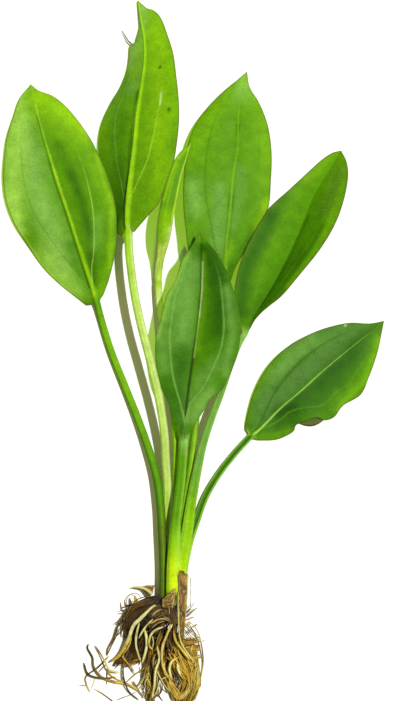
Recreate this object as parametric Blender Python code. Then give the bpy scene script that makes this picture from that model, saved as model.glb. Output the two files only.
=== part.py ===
"""Amazon sword plant with bare roots, lying on a flat surface as it was lifted out of its pot.

Metres, +Z up. The surface is z = 0, and the origin is the crown's underside. +Y runs from the
crown along the plant to the tip of its tallest leaf, and +X is to the right, seen from above.
Each leaf is one solid, stalk and blade together: it is lofted along its rib, between a left and
a right edge. The lists of points below are in millimetres.
"""
import math

import bmesh
import bpy
from mathutils import Vector, noise

MM = 0.001
UP = Vector((0, 0, 1))
SPLINE_STEPS = 16  # straight steps between two points of a curve before it is measured

# A leaf
BLADE_THICKNESS = 0.5
EDGE_THICKNESS = 0.34
STALK_RINGS = 9
STALK_DEPTH = 0.8  # a stalk's height over its width
BLADE_STATIONS = (0.0, 0.018, 0.045, 0.09, 0.14, 0.2, 0.26, 0.33, 0.4, 0.47, 0.54, 0.61, 0.68, 0.75, 0.82,
                  0.88, 0.93, 0.97)
STALK_JOIN = 0.045  # share of the blade over which the stalk flattens into it
STALK_ANGLES = (170, 140, 115, 90, 65, 40, 10)
RIB_TIP_SHARE = 0.18  # the rib's size at the tip, as a share of its size at the stalk

# The crown
CROWN_CENTRE = (-2.2, -1.8, 5.4)
CROWN_RADII = (9.4, 6.3, 6.4)
CROWN_TURN = math.radians(14)
CROWN_LUMP = 0.9

# Roots
ROOT_STEP = 3.2  # length between two points of a root's tube
ROOT_FLOOR = 0.05

REMAINS_SAG = 0.16  # how far a dry strip is cupped, as a share of its width

LEAF_ROUGHNESS = 0.4
ROOT_ROUGHNESS = 0.6
DRY_ROUGHNESS = 0.8

LEAF_GREEN = (0.13, 0.36, 0.03)
SHADED_GREEN = (0.06, 0.22, 0.03)
YOUNG_GREEN = (0.2, 0.48, 0.02)
ROOT_CREAM = (0.72, 0.6, 0.28)
ROOT_OCHRE = (0.5, 0.33, 0.07)
ROOT_BROWN = (0.14, 0.08, 0.03)
CROWN_BROWN = (0.05, 0.03, 0.015)
DRY_BROWN = (0.3, 0.19, 0.08)

# Each leaf: its colour, the stalk's width at the crown and at the blade, the rib's height over
# and under the blade, the camber of its halves, and its curves. A point is x, y and height.
LEAVES = {
    "leaf_left": {
        "colour": LEAF_GREEN,
        "stalk_width": (3.6, 2.8),
        "rib": (0.5, 0.7),
        "camber": (0.05, 0.05),
        "stalk": [(1.5, 6.5, 6.6), (1.5, 17, 6.6), (1, 29, 6.8), (0.3, 41, 6.6), (-1.6, 53.5, 5.6),
                  (-4.8, 64, 4.2), (-9, 75.5, 2.8), (-13.8, 87.5, 2), (-19.9, 103, 1.6),
                  (-24.2, 117.5, 1.9)],
        "blade": [(-25, 121, 3), (-28, 131, 3.2), (-32, 143, 3.6), (-36, 155.5, 4.2), (-40.5, 168.5, 5),
                  (-44.5, 182, 5.4), (-48, 194, 5), (-50.5, 203.5, 3.6), (-51.5, 208.5, 2.6)],
        "left": [(-26.8, 119, 2.6), (-31.5, 122, 0.9), (-39.5, 128, 0.17), (-47, 135.5, 0.17),
                 (-54.5, 146.5, 1.2), (-59, 154.5, 2), (-61.5, 162, 2.8), (-62.5, 170.5, 3.4),
                 (-62, 179, 3.6), (-61, 187.5, 3.4), (-58.5, 195.5, 3), (-56, 203, 2.6), (-51.5, 208.5, 2.6)],
        "right": [(-23.6, 121.5, 3), (-20, 131, 5.5), (-17.5, 142, 7.5), (-17, 152, 8), (-17.5, 159.5, 8),
                  (-20, 169.5, 8), (-24, 179.5, 7.6), (-28.5, 188, 7), (-37, 199, 5.4), (-42.5, 203.5, 4.2),
                  (-48.5, 206, 3), (-51.5, 208.5, 2.6)],
    },
    "leaf_tall": {
        "colour": YOUNG_GREEN,
        "stalk_width": (3.4, 3.3),
        "rib": (1.5, 0.4),
        "camber": (0.04, 0.05),
        "stalk": [(1.8, 6.5, 2), (2, 18.5, 2), (2.2, 30.5, 2), (3, 40, 3), (3.4, 49, 5.4), (3, 58, 8),
                  (2.5, 69.5, 11.8), (0.5, 83.5, 15), (-3.3, 99.5, 17), (-7.2, 112.5, 17.8), (-9.9, 123.5, 17.8),
                  (-11.9, 137, 17.4), (-12.5, 145.5, 16.6)],
        "blade": [(-12.5, 149, 15.6), (-12.4, 159.5, 14.6), (-11.3, 171.5, 14), (-9.8, 184.7, 13.4),
                  (-8.6, 194.9, 12.4), (-7.1, 205.4, 10.4), (-5.8, 216.6, 7.6), (-6, 225.7, 5),
                  (-7.5, 234.2, 2.8), (-8.7, 242, 1.2)],
        "left": [(-13.7, 147.5, 15.2), (-15.6, 147.8, 10), (-17.3, 149.6, 5.6), (-17.4, 154, 4),
                 (-20.5, 166, 3), (-23.5, 176, 3), (-24.5, 184, 3), (-23.6, 192.2, 2.8), (-19.7, 201, 2.2),
                 (-15.9, 207.2, 1.6), (-14.1, 211.6, 1.4), (-13.1, 215.5, 1.2), (-12.6, 219.5, 1),
                 (-12.4, 222.9, 1.2), (-11.8, 224.4, 1.6), (-10.5, 224.3, 1.8), (-9.6, 227.2, 1.6),
                 (-8.5, 231, 1.4), (-7.8, 234.4, 1.4), (-8, 237, 1.4), (-8.7, 242, 1.2)],
        "right": [(-11.3, 149, 16.4), (-10.3, 148, 17.4), (-8.9, 149.7, 18.4), (-6.3, 152.6, 20),
                  (-3.5, 155.8, 21.4), (-0.5, 159.1, 22.4), (1.7, 163.8, 23), (3.7, 169.6, 23.2),
                  (5.7, 175.5, 23), (7, 183.4, 22), (7.9, 193.3, 20.4), (7.7, 201.4, 18.2),
                  (6.7, 210.7, 15), (5.5, 219.5, 11), (3.3, 227.1, 7), (0.7, 234.1, 4), (-1.1, 236.7, 3),
                  (-2.9, 238.1, 2.4), (-5, 238.8, 1.9), (-6.8, 240.2, 1.5), (-8.7, 242, 1.2)],
    },
    "leaf_folded": {
        "colour": YOUNG_GREEN,
        "stalk_width": (2.6, 3),
        "rib": (0.5, 0.2),
        "camber": (0.08, -0.08),
        "stalk": [(5.2, 7, 7.3), (5.2, 19, 7.3), (6, 33, 7), (6.5, 51.5, 6.8), (6.5, 66.5, 6.4),
                  (5, 82.5, 5.8), (2.2, 98.5, 5.2), (0.4, 114.5, 4.6), (-0.5, 124.5, 4.4)],
        "blade": [(-0.6, 128.7, 4.6), (-0.2, 133.4, 6.2), (1, 138.1, 9.4), (2.8, 143.4, 13.8),
                  (4.3, 149.2, 17.2), (5.5, 155.8, 19.2), (7, 163.6, 19.9), (8.4, 170.4, 19.7),
                  (10.2, 176.6, 19), (12.4, 183.9, 18)],
        "left": [(-1.9, 128.7, 4.4), (-2.1, 131.5, 4.8), (-1.7, 135.8, 7.2), (-0.9, 141.1, 12.6),
                 (-0.8, 146.8, 17), (-0.5, 152.6, 19.2), (0.4, 158.1, 20), (1.6, 162.8, 20.2),
                 (2.8, 167.5, 20.2), (4.1, 172.2, 20), (5.7, 176.1, 19.5), (8, 179.7, 18.9),
                 (12.4, 183.9, 18)],
        "right": [(0.7, 128.7, 4.4), (0.9, 132.6, 5), (1.6, 138.1, 7.6), (2.9, 142.7, 11.2),
                  (4.1, 147.3, 14.2), (4.5, 152, 15.8), (4.3, 157.5, 16.6), (4.7, 162.9, 17),
                  (5.8, 169.2, 17), (8.2, 176.7, 17.2), (12.4, 183.9, 18)],
    },
    "leaf_middle": {
        "colour": LEAF_GREEN,
        "stalk_width": (3, 2.8),
        "rib": (0.15, 0.9),
        "camber": (0.05, 0.05),
        "stalk": [(5.4, 6.5, 3), (5.8, 18.5, 3.6), (8.2, 31, 4.8), (10, 41, 6.6), (11.7, 51.5, 7.4),
                  (13.5, 66.5, 7.6), (15.2, 82.5, 7.6), (17.4, 98.5, 8.2), (21, 114.5, 9), (24, 124, 10.2)],
        "blade": [(24.5, 126, 10.5), (26, 135, 11.4), (26.5, 145, 12), (28, 157.5, 12), (29, 170.1, 11),
                  (31, 182.8, 9), (31.6, 198.2, 6), (34.2, 210.2, 4), (34.7, 213.3, 3.6)],
        "left": [(23.2, 126, 10.6), (19, 128, 11.6), (15, 133.5, 12.8), (11.5, 141.5, 13.5),
                 (10.5, 149, 13.6), (9.5, 158.5, 13.6), (9.5, 168.6, 12.6), (11, 182.9, 9), (14, 191.6, 7),
                 (19, 198.9, 5.4), (26.1, 206.1, 4.2), (30.6, 209.8, 3.8), (34.7, 213.3, 3.6)],
        "right": [(25.8, 126, 10.3), (28, 129.5, 10.2), (30.5, 136, 10), (37.5, 147, 10), (43, 158.5, 10),
                  (44.1, 169.6, 9.4), (44.4, 180.9, 8), (43, 191.6, 6.6), (39.4, 201, 5), (35.8, 207.2, 4),
                  (34.7, 213.3, 3.6)],
    },
    "leaf_front": {
        "colour": SHADED_GREEN,
        "stalk_width": (4.4, 4),
        "rib": (0.15, 0.9),
        "camber": (0.07, 0.07),
        "stalk": [(4.8, 7.5, 10.8), (5, 17.5, 10.8), (6.1, 31.5, 10.6), (8.5, 51.5, 10.4), (9.5, 67, 10.8)],
        "blade": [(10, 71.5, 11), (11, 81, 11.4), (12.5, 92, 12), (14, 102.5, 13), (15.5, 113.5, 14.4),
                  (16.5, 123.5, 16), (17, 135.5, 18.6), (16.5, 144.5, 21.4), (16, 149, 22.6)],
        "left": [(8.2, 71.5, 11.2), (6.5, 74.5, 11.6), (3.5, 81.5, 11.9), (0, 89, 12.2), (-1.5, 98, 13),
                 (-1.5, 106.5, 14.8), (0.5, 115, 17), (3, 124, 18.8), (6.5, 130, 19.8), (9, 138, 21),
                 (12.5, 142.5, 21.9), (16, 149, 22.6)],
        "right": [(11.8, 71.5, 11.6), (15, 75, 12.6), (18.5, 80, 13.4), (19.5, 82.5, 14), (24.5, 86.5, 15.4),
                  (28, 93, 16.6), (31, 101.5, 18), (32, 111, 19), (31, 119.5, 19.6), (29, 126.5, 20.2),
                  (26, 134.5, 20.9), (22.5, 140.5, 21.8), (18.5, 145.5, 22.5), (16, 149, 22.6)],
    },
    "leaf_right": {
        "colour": SHADED_GREEN,
        "stalk_width": (3.4, 2.6),
        "rib": (0.15, 0.8),
        "camber": (0.05, 0.05),
        "stalk": [(8.5, 7, 7.4), (9.6, 19.1, 7.8), (11.5, 29.1, 8.2), (13, 41.7, 9.2), (15, 53.7, 10.6),
                  (17.5, 65.7, 12), (21.2, 77.1, 12.6), (24.4, 85.6, 12.1), (27.8, 95.7, 11.7),
                  (31.8, 105.8, 10.8)],
        "blade": [(33.5, 108.5, 10.4), (37, 115, 10.2), (41.5, 122, 9.4), (48.5, 134.5, 7.8),
                  (55.5, 149, 6.6), (61.5, 163.5, 6), (67.5, 174, 6.2), (72.1, 181.6, 7)],
        "left": [(32.5, 109.4, 10.6), (30.5, 115, 12.2), (29.5, 122, 13.6), (30, 129, 14),
                 (32.5, 138.5, 13.6), (37, 148.1, 12.6), (43.6, 158.7, 11), (51.1, 165.7, 9.6),
                 (57.7, 171.8, 8.6), (64.2, 177.8, 8), (68.6, 180.7, 7.6), (72.1, 181.6, 7)],
        "right": [(34.5, 107.8, 10.4), (36.5, 112.5, 11.6), (40.5, 117.5, 13), (48, 123.5, 14.6),
                  (54.5, 131, 15.4), (61.5, 139.5, 15.8), (68.5, 150.5, 15), (72.5, 160.5, 13.6),
                  (74.6, 171.1, 11.4), (74.1, 177.1, 9), (72.1, 181.6, 7)],
    },
    "leaf_low": {
        "colour": SHADED_GREEN,
        "stalk_width": (3, 2.6),
        "rib": (0.35, 0.5),
        "camber": (0.06, 0.04),
        "stalk": [(8.8, 6.5, 3.2), (10, 16.5, 3.2), (12, 26, 3), (14.8, 34.5, 2.8), (18.3, 44, 2.6),
                  (23.6, 53, 2.4), (29.8, 61, 2.2), (34.5, 66.2, 2.1)],
        "blade": [(35.8, 67.6, 2.1), (40.7, 71.7, 2.1), (47.9, 79, 2), (55.9, 85.8, 1.9), (63.9, 93.1, 1.7),
                  (71.9, 99.9, 1.6), (79.9, 106.4, 1.5), (85.5, 110.8, 1.6), (89.5, 114, 2)],
        "left": [(34.5, 68.5, 2.3), (34, 72.5, 1.6), (35.5, 79.4, 2.2), (38, 87, 3.2), (43.5, 96.5, 4.6),
                 (51.2, 104, 5.4), (59.2, 108.5, 5.6), (67.2, 111.5, 5.2), (75.5, 113.2, 4.4), (84, 113, 3),
                 (89.5, 114, 2)],
        "right": [(36.5, 66.7, 1.6), (41, 66.3, 0.7), (46.5, 66.5, 0.17), (51, 68.2, 0.17), (53.5, 70, 0.6),
                  (54.5, 72.5, 1.6), (58.5, 74, 2.8), (62.5, 75.5, 3), (66, 74.5, 1.8), (69.5, 75.5, 0.9), (73, 80, 1),
                  (80.3, 84.5, 0.17), (83.5, 91.5, 0.4), (86.8, 101, 0.8), (88.6, 109.5, 1.4), (89.5, 114, 2)],
    },
}

# Each root: its colour, its radius at the crown and at its end, and its points.
ROOTS = {
    "root_knotted": (ROOT_CREAM, 0.85, 0.5, [(-3.5, 2.5, 12.5), (-6.5, -2.5, 12.3), (-10, -6, 10.8), (-12, -10, 9),
                                             (-13.5, -14.5, 7.6), (-16, -19.5, 5.6), (-19.5, -22, 4.4)]),
    "root_2": (ROOT_CREAM, 0.5, 0.4, [(-4.5, -3, 12.9), (-7, -7, 10.8), (-8.5, -11, 9.4), (-9, -14.5, 7.6)]),
    "root_3": (ROOT_CREAM, 0.5, 0.4, [(-8, -8.2, 7.4), (-9.5, -11, 6.4), (-9.5, -16, 5), (-9, -19.5, 4)]),
    "root_4": (ROOT_CREAM, 0.75, 0.55, [(-5.5, -9.5, 9.2), (-5.5, -14.5, 8.8), (-6.5, -20, 7.4), (-8.5, -25, 5)]),
    "root_hooked": (ROOT_CREAM, 0.5, 0.4, [(1.5, -7, 12.2), (-1.5, -8.2, 12.4), (-3.5, -10.5, 11.6),
                                           (-4, -14.5, 10.8), (-2.5, -16.5, 10.4)]),
    "root_6": (ROOT_CREAM, 0.55, 0.45, [(4.5, -6, 12.4), (3, -10, 12.8), (1.5, -14, 12.6), (1, -18, 12.2),
                                        (1.5, -22.5, 12), (3.5, -27.5, 11.4)]),
    "root_7": (ROOT_OCHRE, 0.55, 0.45, [(5.6, -7, 10), (6.2, -12, 11.8), (8.5, -15.5, 12), (10, -17.5, 12),
                                        (12, -20, 11.6)]),
    "root_8": (ROOT_CREAM, 0.55, 0.45, [(7.5, -19, 12.4), (5, -20.5, 12.6), (4, -23.5, 12.2), (5, -28.5, 11.4)]),
    "root_9": (ROOT_CREAM, 0.5, 0.4, [(7, -21.5, 11.2), (7.5, -24, 11.2), (8.5, -26.5, 11)]),
    "root_10": (ROOT_BROWN, 0.45, 0.35, [(-13, -4.5, 4.6), (-16.5, -7.5, 3), (-18.5, -12.5, 2), (-21, -17.5, 1.4),
                                         (-21, -19.5, 1.2)]),
    "root_11": (ROOT_BROWN, 0.4, 0.3, [(-13.5, -2.5, 6.6), (-15.5, -5, 5.4), (-17.5, -6.5, 5)]),
    "root_12": (ROOT_BROWN, 0.6, 0.5, [(-8.5, -33.5, 2.2), (-13, -31, 2), (-18.5, -30, 1.8), (-23.5, -28, 1.8),
                                       (-26.5, -24, 1.7), (-27, -20.5, 1), (-29, -16.5, 0.9), (-28.5, -15, 0.9)]),
    "root_13": (ROOT_BROWN, 0.45, 0.4, [(-17.5, -28, 3.2), (-22.5, -28.5, 3), (-28.5, -27, 2.4), (-30.5, -22.5, 1)]),
    "root_14": (ROOT_BROWN, 0.35, 0.3, [(-20.5, -20, 1), (-24.5, -24.2, 0.5), (-29.8, -28.5, 0.5), (-29.5, -31, 0.5),
                                        (-28, -34.5, 0.5)]),
    "root_15": (ROOT_CREAM, 0.4, 0.3, [(-16, -26, 4.4), (-20, -25, 4.4), (-22, -21.5, 3.8), (-23.5, -19, 2.8),
                                       (-26, -15.5, 1.6)]),
    "root_16": (ROOT_OCHRE, 0.3, 0.25, [(-26.5, -33, 0.5), (-23, -35, 0.5), (-19, -38, 0.5), (-16, -40.5, 0.5)]),
    "root_17": (ROOT_OCHRE, 0.5, 0.35, [(-9, -8, 4.6), (-11.5, -13, 3.4), (-12.8, -18, 3), (-14.5, -23, 2.8),
                                        (-14.5, -27.5, 3.8), (-13.6, -31, 3.6), (-12, -34.5, 1.4),
                                        (-8.5, -37.5, 0.8)]),
    "root_18": (ROOT_CREAM, 0.5, 0.4, [(-3.5, -9.5, 6), (-4, -14, 6.4), (-4.2, -19, 6.4), (-5.5, -24.5, 5.6),
                                       (-7, -29.5, 4), (-9, -32, 3.6)]),
    "root_outer": (ROOT_OCHRE, 0.45, 0.35, [(8, -4, 7), (13.5, -7, 6.4), (17, -13, 5), (18.5, -19, 3), (18.6, -26, 1.6),
                                            (18, -33, 1), (15, -40.5, 0.8)]),
    "root_20": (ROOT_CREAM, 0.55, 0.45, [(0.5, -8.5, 10.8), (-1, -14.5, 9.6), (0, -19.5, 10.2), (-1.5, -24.5, 10),
                                         (-2, -30, 8.6), (-3, -36, 6.4)]),
    "root_21": (ROOT_BROWN, 0.4, 0.35, [(-11.5, -1.5, 8.6), (-13.5, 0.5, 7.4), (-14, 3, 6.4)]),
    "root_stub": (DRY_BROWN, 0.75, 0.65, [(-8.6, 1.7, 9.5), (-9.4, 3.2, 9), (-10, 5, 8.2)]),
}

# Dry remains of old leaves: width at each end, thickness, and the points of the middle line.
REMAINS = {
    "old_leaf_base": (4.6, 2.2, 1.1, [(9.4, 15.5, 12.6), (9.4, 8, 12.6), (9.2, 0, 12.4), (8.8, -8, 11.6),
                                      (8.4, -12.5, 10.8)]),
    "torn_sheath": (5.2, 4.4, 0.8, [(4, 9.4, 13.4), (3.8, 5, 13.8), (3.2, 0.5, 13.6)]),
    "dry_scale": (0.8, 4, 0.7, [(-7.4, 7.9, 4.6), (-5, 7.6, 5), (-2.4, 6.8, 5.2)]),
}

# The mats of fine roots: middle, half sizes and the height of the top.
ROOT_MATS = {
    "root_mat_right": ((9.2, -26.5), (7.6, 15.4), 10.2),
    "root_mat_middle": ((-3.2, -29.5), (4.2, 12.2), 5),
    "root_tuft_right": ((12.6, -3.6), (3.6, 3.6), 6),
}
MAT_RINGS = 6
MAT_SIDES = 26
MAT_LUMP = 0.9
MAT_UNEVEN = 0.12
MAT_FALL = 6.6  # rings in a quarter turn of the mat's rounded side


def clear_scene():
    for thing in list(bpy.data.objects):
        bpy.data.objects.remove(thing)


def material(name, colour, roughness):
    made = bpy.data.materials.new(name)
    made.use_nodes = True
    shader = made.node_tree.nodes["Principled BSDF"]
    shader.inputs["Base Color"].default_value = (*colour, 1)
    shader.inputs["Roughness"].default_value = roughness
    return made


def smooth_curve(points, shares):
    """The points at these shares of the length of a smooth curve through points."""
    ends = [Vector(p) * MM for p in points]
    ends = [2 * ends[0] - ends[1], *ends, 2 * ends[-1] - ends[-2]]
    line = [ends[1]]
    for a, b, c, d in zip(ends, ends[1:], ends[2:], ends[3:]):
        knots = [0.0]
        for start, end in ((a, b), (b, c), (c, d)):
            knots.append(knots[-1] + math.sqrt((end - start).length))
        for step in range(1, SPLINE_STEPS + 1):
            t = knots[1] + (knots[2] - knots[1]) * step / SPLINE_STEPS
            line.append(catmull_rom((a, b, c, d), knots, t))
    return at_shares(line, shares)


def catmull_rom(points, knots, t):
    """A point of the centripetal Catmull-Rom curve through four points, at knot value t."""
    level = list(points)
    for depth in (1, 2, 3):
        level = [
            blend(level[i], level[i + 1], share_between(t, knots, i, depth, len(level)))
            for i in range(len(level) - 1)
        ]
    return level[0]


def share_between(t, knots, i, depth, count):
    """Where t lies between the two knots that one step of the curve's pyramid runs between."""
    low = knots[i] if depth < 3 else knots[1]
    high = knots[i + depth] if depth < 3 else knots[2]
    return (t - low) / (high - low)


def blend(a, b, share):
    return a + (b - a) * share


def at_shares(line, shares):
    lengths = [0.0]
    for a, b in zip(line, line[1:]):
        lengths.append(lengths[-1] + (b - a).length)
    found = []
    i = 0
    for share in shares:
        want = share * lengths[-1]
        while i < len(line) - 2 and lengths[i + 1] < want:
            i += 1
        found.append(blend(line[i], line[i + 1], (want - lengths[i]) / (lengths[i + 1] - lengths[i])))
    return found


def even_shares(count):
    return [i / (count - 1) for i in range(count)]


def directions(line):
    """The direction of travel at each point of a line."""
    found = []
    for i in range(len(line)):
        before = line[max(i - 1, 0)]
        after = line[min(i + 1, len(line) - 1)]
        found.append((after - before).normalized())
    return found


def smooth_step(x):
    x = min(max(x, 0), 1)
    return x * x * (3 - 2 * x)


def add_object(name, mesh_maker, colour, roughness):
    """A named object from the bmesh that mesh_maker fills."""
    shape = bmesh.new()
    mesh_maker(shape)
    bmesh.ops.recalc_face_normals(shape, faces=shape.faces)
    mesh = bpy.data.meshes.new(name)
    shape.to_mesh(mesh)
    shape.free()
    mesh.shade_smooth()
    thing = bpy.data.objects.new(name, mesh)
    thing.data.materials.append(material(name, colour, roughness))
    bpy.context.scene.collection.objects.link(thing)
    return thing


def loft(shape, rings, tip=None):
    """Joins rings of the same number of points, and closes both ends."""
    rows = [[shape.verts.new(point) for point in ring] for ring in rings]
    count = len(rows[0])
    for low, high in zip(rows, rows[1:]):
        for i in range(count):
            j = (i + 1) % count
            shape.faces.new((low[i], low[j], high[j], high[i]))
    shape.faces.new(list(reversed(rows[0])))
    if tip is None:
        shape.faces.new(rows[-1])
        return
    point = shape.verts.new(tip)
    for i in range(count):
        shape.faces.new((rows[-1][i], rows[-1][(i + 1) % count], point))


def stalk_ring(middle, along, width):
    """An oval, as points over the stalk from left to right and then back under it."""
    across = along.cross(UP).normalized()
    above = across.cross(along)
    ring = []
    for side, angles in ((1, STALK_ANGLES), (-1, tuple(reversed(STALK_ANGLES)))):
        for degrees in angles:
            angle = math.radians(degrees)
            out = across * math.cos(angle) * width / 2
            rise = above * math.sin(angle) * side * width * STALK_DEPTH / 2
            ring.append(middle + out + rise)
    return ring


def half_blade(edge, rib, along, foot, camber):
    """The edge, the middle and the rib's foot on one side of the rib."""
    across = rib - edge
    lift = across.cross(along).normalized() * camber * across.length
    foot_share = min(foot / max(across.length, 1e-9), 0.4)
    return [edge, blend(edge, rib, 0.5) + lift, blend(rib, edge, foot_share)]


def blade_ring(left, rib, right, along, leaf, rib_size):
    """Seven points of the upper face from edge to edge, and seven of the lower face back."""
    foot = leaf["stalk_width"][1] / 2 * MM * rib_size
    left_half = half_blade(left, rib, along, foot, leaf["camber"][0])
    right_half = half_blade(right, rib, along, foot, -leaf["camber"][1])
    sheet = [*left_half, rib, *reversed(right_half)]
    rib_over, rib_under = (size * MM * rib_size for size in leaf["rib"])
    halves = [EDGE_THICKNESS / 2 * MM] + [BLADE_THICKNESS / 2 * MM] * 5 + [EDGE_THICKNESS / 2 * MM]
    upper = []
    lower = []
    for i, point in enumerate(sheet):
        before = sheet[max(i - 1, 0)]
        after = sheet[min(i + 1, 6)]
        normal = (after - before).cross(along).normalized()
        upper.append(point + normal * (halves[i] + (rib_over if i == 3 else 0)))
        lower.append(point - normal * (halves[i] + (rib_under if i == 3 else 0)))
    return upper + lower[::-1]


def on_surface(ring):
    """Keeps a ring on the surface: what would sink through it lies flat on it instead."""
    half = len(ring) // 2
    rested = []
    for i, point in enumerate(ring):
        lowest = (EDGE_THICKNESS if i < half else 0) * MM
        rested.append(Vector((point.x, point.y, max(point.z, lowest))))
    return rested


def leaf_rings(leaf):
    """The rings of a leaf from the crown to just short of its tip."""
    width_low, width_high = (width * MM for width in leaf["stalk_width"])
    shares = even_shares(STALK_RINGS + 1)[:-1]
    stalk = smooth_curve(leaf["stalk"] + leaf["blade"][:1], [*shares, 1])
    rib = smooth_curve(leaf["blade"], [*BLADE_STATIONS, 1])
    left = smooth_curve(leaf["left"], [*BLADE_STATIONS, 1])
    right = smooth_curve(leaf["right"], [*BLADE_STATIONS, 1])
    rings = []
    for share, middle, along in zip(shares, stalk, directions(stalk)):
        rings.append(stalk_ring(middle, along, blend(width_low, width_high, share)))
    for i, share in enumerate(BLADE_STATIONS):
        along = directions(rib)[i]
        rib_size = blend(1, RIB_TIP_SHARE, share)
        flat = blade_ring(left[i], rib[i], right[i], along, leaf, rib_size)
        round_ring = stalk_ring(rib[i], along, width_high * rib_size)
        weight = smooth_step(share / STALK_JOIN)
        rings.append([blend(a, b, weight) for a, b in zip(round_ring, flat)])
    return [on_surface(ring) for ring in rings], rib[-1]


def make_leaf(name, leaf):
    rings, tip = leaf_rings(leaf)
    return add_object(name, lambda shape: loft(shape, rings, tip), leaf["colour"], LEAF_ROUGHNESS)


def make_root(name, colour, radius, end_radius, points):
    """A tapering tube on a curve object."""
    length = sum((Vector(b) - Vector(a)).length for a, b in zip(points, points[1:]))
    count = max(round(length / ROOT_STEP), 3) + 1
    line = smooth_curve(points, even_shares(count))
    curve = bpy.data.curves.new(name, "CURVE")
    curve.dimensions = "3D"
    curve.bevel_depth = radius * MM
    curve.bevel_resolution = 1
    curve.use_fill_caps = True
    spline = curve.splines.new("POLY")
    spline.points.add(count - 1)
    for i, place in enumerate(line):
        size = blend(1, end_radius / radius, i / (count - 1))
        spline.points[i].co = (place.x, place.y, max(place.z, (radius * size + ROOT_FLOOR) * MM), 1)
        spline.points[i].radius = size
    curve.materials.append(material(name, colour, ROOT_ROUGHNESS))
    thing = bpy.data.objects.new(name, curve)
    bpy.context.scene.collection.objects.link(thing)
    return thing


def make_crown():
    """The short dark stem: a knobbly body, flat where it rests on the surface."""

    def fill(shape):
        bmesh.ops.create_uvsphere(shape, u_segments=22, v_segments=12, radius=1)
        for vert in shape.verts:
            around = vert.co.copy()
            lump = CROWN_LUMP * noise.noise(around * 2.3) * (0.5 + 0.5 * around.z)
            x = around.x * (CROWN_RADII[0] + lump)
            y = around.y * (CROWN_RADII[1] + lump)
            turned_x = x * math.cos(CROWN_TURN) - y * math.sin(CROWN_TURN)
            turned_y = x * math.sin(CROWN_TURN) + y * math.cos(CROWN_TURN)
            height = CROWN_CENTRE[2] + around.z * (CROWN_RADII[2] + lump)
            vert.co = Vector((CROWN_CENTRE[0] + turned_x, CROWN_CENTRE[1] + turned_y, max(height, 0))) * MM

    return add_object("crown", fill, CROWN_BROWN, DRY_ROUGHNESS)


def make_remains(name, width_low, width_high, thickness, points):
    """A strip of dry leaf base, cupped a little across."""
    count = 7
    line = smooth_curve(points, even_shares(count))
    rings = []
    for i, (middle, along) in enumerate(zip(line, directions(line))):
        width = blend(width_low, width_high, i / (count - 1)) * MM
        across = along.cross(UP).normalized()
        above = across.cross(along)
        upper = []
        lower = []
        for step in range(-2, 3):
            sag = above * (0.5 - step * step / 4) * REMAINS_SAG * width
            place = middle + across * step / 4 * width + sag
            upper.append(place + above * thickness / 2 * MM)
            lower.append(place - above * thickness / 2 * MM)
        rings.append(upper + lower[::-1])
    return add_object(name, lambda shape: loft(shape, rings), DRY_BROWN, DRY_ROUGHNESS)


def make_root_mat(name, middle, half_sizes, height):
    """The form of a mat of fine roots: a lumpy pad, flat where it rests."""

    def place(ring, side):
        angle = 2 * math.pi * side / MAT_SIDES
        out = Vector((math.cos(angle), math.sin(angle), 0))
        reach = math.sin(math.pi / 2 * ring / MAT_RINGS)
        uneven = 1 + MAT_UNEVEN * noise.noise(out * 1.7 + Vector((middle[0], middle[1], 0)))
        x = middle[0] + out.x * half_sizes[0] * reach * uneven
        y = middle[1] + out.y * half_sizes[1] * reach * uneven
        lump = MAT_LUMP * noise.noise(Vector((x, y, height)) * 0.35)
        rise = (height + lump) * math.cos(math.pi / 2 * ring / MAT_FALL)
        return Vector((x, y, rise)) * MM

    def fill(shape):
        rings = [[shape.verts.new(place(ring, side)) for side in range(MAT_SIDES)]
                 for ring in range(MAT_RINGS, 0, -1)]
        base = [shape.verts.new((vert.co.x, vert.co.y, 0)) for vert in rings[0]]
        for low, high in zip([base, *rings], rings):
            for i in range(MAT_SIDES):
                j = (i + 1) % MAT_SIDES
                shape.faces.new((low[i], low[j], high[j], high[i]))
        shape.faces.new(list(reversed(base)))
        top = shape.verts.new(place(0, 0))
        for i in range(MAT_SIDES):
            shape.faces.new((rings[-1][i], rings[-1][(i + 1) % MAT_SIDES], top))

    return add_object(name, fill, ROOT_OCHRE, DRY_ROUGHNESS)


def main():
    clear_scene()
    for name, leaf in LEAVES.items():
        make_leaf(name, leaf)
    make_crown()
    for name, (colour, radius, end_radius, points) in ROOTS.items():
        make_root(name, colour, radius, end_radius, points)
    for name, sizes in REMAINS.items():
        make_remains(name, *sizes)
    for name, sizes in ROOT_MATS.items():
        make_root_mat(name, *sizes)


main()
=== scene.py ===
"""Looks of the amazon sword plant: its leaves, crown and roots, the floor, the light and the camera.

Lengths in the lists are millimetres. A line is a text with its points between commas. Each point is
x y z, or v u for a place on a leaf's blade: v runs from 0 at the stalk to 1 at the tip, and u from -1
at the left edge over 0 at the rib to 1 at the right edge.
"""
import math
import random

import bpy
import numpy as np
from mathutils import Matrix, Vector, noise


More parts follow.
